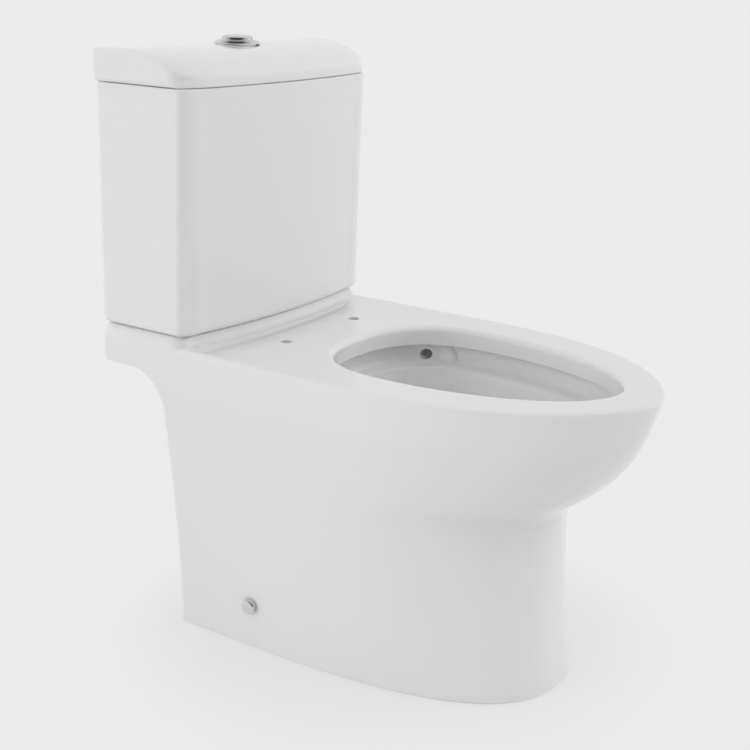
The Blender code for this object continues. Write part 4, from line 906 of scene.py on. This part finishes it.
def make_world():
    """An even studio seen as a plain background, whose unlit side behind the camera shows in reflections."""
    world = bpy.data.worlds.new("studio")
    bpy.context.scene.world = world
    world.use_nodes = True
    tree = world.node_tree
    tree.nodes.clear()
    shown, glossy = seen_rays(tree)
    direction = add(tree, "ShaderNodeTexCoord").outputs["Generated"]
    tall = add(tree, "ShaderNodeVectorMath", {1: (1.0, 1.0, 3.0)}, {0: direction}, operation="MULTIPLY")
    around = add(tree, "ShaderNodeVectorMath", links={0: tall.outputs["Vector"]}, operation="NORMALIZE")
    toward = add(tree, "ShaderNodeVectorMath", {1: Vector((-0.83, -0.56, 0.40)).normalized()},
                 {0: around.outputs["Vector"]}, operation="DOT_PRODUCT")
    tone = add(tree, "ShaderNodeRGB").outputs["Color"]
    tone.default_value = linear(BACKGROUND)
    for shade, first, last in (("#B4B4B4", 0.10, 0.60), ("#343434", 0.56, 0.72)):
        dim = add(tree, "ShaderNodeMapRange", {"From Min": first, "From Max": last},
                  {"Value": toward.outputs["Value"]}, interpolation_type="SMOOTHSTEP").outputs["Result"]
        amount = add(tree, "ShaderNodeMath", links={0: dim, 1: glossy}, operation="MULTIPLY").outputs["Value"]
        tone = add(tree, "ShaderNodeMix", {"B": linear(shade)}, {"Factor": amount, "A": tone},
                   data_type="RGBA").outputs["Result"]
    light = add(tree, "ShaderNodeBackground", {"Color": linear("#FFFFFF"), "Strength": 0.37})
    seen = add(tree, "ShaderNodeBackground", {"Strength": 1.0}, {"Color": tone})
    both = add(tree, "ShaderNodeMixShader", links={"Fac": shown, 1: light.outputs["Background"],
                                                   2: seen.outputs["Background"]})
    add(tree, "ShaderNodeOutputWorld", links={"Surface": both.outputs["Shader"]})


def make_floor():
    """A plain pale floor that takes the object's shadow and fades into the background further off."""
    bpy.ops.object.select_all(action="DESELECT")
    bpy.ops.mesh.primitive_circle_add(vertices=96, radius=14.0, fill_type="NGON")
    floor = bpy.context.object
    floor.name = "studio_floor"
    made, tree, shader, place = blank("matt_studio_floor")
    shader.inputs["Base Color"].default_value = linear("#EDEDED")
    shader.inputs["Roughness"].default_value = 0.9
    shader.inputs["Specular IOR Level"].default_value = 0.1
    seen = add(tree, "ShaderNodeEmission", {"Color": linear(BACKGROUND), "Strength": 1.0}).outputs["Emission"]
    reach = add(tree, "ShaderNodeVectorMath", links={0: place}, operation="LENGTH").outputs["Value"]
    far = add(tree, "ShaderNodeMapRange", {"From Min": 0.22, "From Max": 0.42, "To Min": 0.70, "To Max": 1.0},
              {"Value": reach}, interpolation_type="SMOOTHSTEP").outputs["Result"]
    fade = add(tree, "ShaderNodeMath", links={0: far, 1: seen_rays(tree)[0]}, operation="MULTIPLY")
    mixed = add(tree, "ShaderNodeMixShader",
                links={"Fac": fade.outputs["Value"], 1: shader.outputs["BSDF"], 2: seen})
    output = next(n for n in tree.nodes if n.type == "OUTPUT_MATERIAL")
    tree.links.new(mixed.outputs["Shader"], output.inputs["Surface"])
    floor.data.materials.append(made)


# ---- assembly ------------------------------------------------------------------------------------
def finish(piece, material, body, nodes, angle=32):
    """Shades a piece smooth, gives it its material and body, and hides the frame nodes that it stands for."""
    alone(piece)
    bpy.ops.object.shade_smooth_by_angle(angle=radians(angle))
    weigh = piece.modifiers.new("weigh", "WEIGHTED_NORMAL")
    weigh.keep_sharp = True
    bpy.ops.object.modifier_apply(modifier=weigh.name)
    piece.data.materials.clear()
    piece.data.materials.append(material)
    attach(piece, body)
    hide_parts(*nodes)
    return piece


make_camera()
make_world()
make_floor()
make_lamp("lamp_left", -115, 12, 1.20)
make_lamp("lamp_behind", -150, 12, 0.56)
make_lamp("lamp_right", 44, 12, 1.14)
make_lamp("lamp_top", 2, 64, 0.76)
bpy.context.scene.view_settings.view_transform = "Standard"

CHINA = glazed_china()
CHROME = chrome_plate()
WHITE = moulded_plastic("moulded_white_abs", "#ECEBE6", "#E4E3DE", 0.38, 0.0004)
GREY = moulded_plastic("moulded_grey_polypropylene", "#A3A7AB", "#B0B3B6", 0.44, 0.0004)
RUBBER = moulded_rubber()
STEEL = turned_metal("turned_stainless_steel", "#BFBEBC", "#D0CFCD", 0.27, 0.0003)
BRASS = turned_metal("turned_brass", "#B98F45", "#CDA65C", 0.28, 0.0003)

finish(make_pan(), CHINA, "base", ["pan"])
finish(make_cistern(), CHINA, "base", ["cistern"])
finish(make_lid(), CHINA, "lid", ["cistern_lid"])
finish(make_bezel(), CHROME, "lid", ["button_bezel"], 50)
for name, side in (("full", -1), ("half", 1)):
    finish(make_button("chrome_" + name + "_button", side), CHROME, name + "_button",
           [name + "_flush_button"], 50)
for name, side in (("left", -1), ("right", 1)):
    finish(make_cap(name, side), CHROME, "base", ["fixing_cap_" + name], 50)

SLOTS = {part["node"]: part["material_slot"] for part in frame["record"]["subparts"]}
FINISHES = {"white_plastic": WHITE, "grey_plastic": GREY, "black_rubber": RUBBER, "stainless_steel": STEEL,
            "brass": BRASS}
BODIES = {node: body for body, nodes in frame["record"]["behaviour"]["bodies"].items() for node in nodes}
PLAIN = ("refill_hose", "lever_pin")
SPRINGS = {"full_button_spring": "full_flush_press", "half_button_spring": "half_flush_press"}
for node, slot in SLOTS.items():
    if node in SPRINGS:
        spring = finish(copied(node), FINISHES[slot], BODIES[node], [node], 50)
        press_spring(spring)
    elif slot in FINISHES and node not in PLAIN:
        finish(eased(node, 0.0005), FINISHES[slot], BODIES[node], [node])
    elif slot in FINISHES:
        frame["nodes"][node].data.materials.clear()
        frame["nodes"][node].data.materials.append(FINISHES[slot])
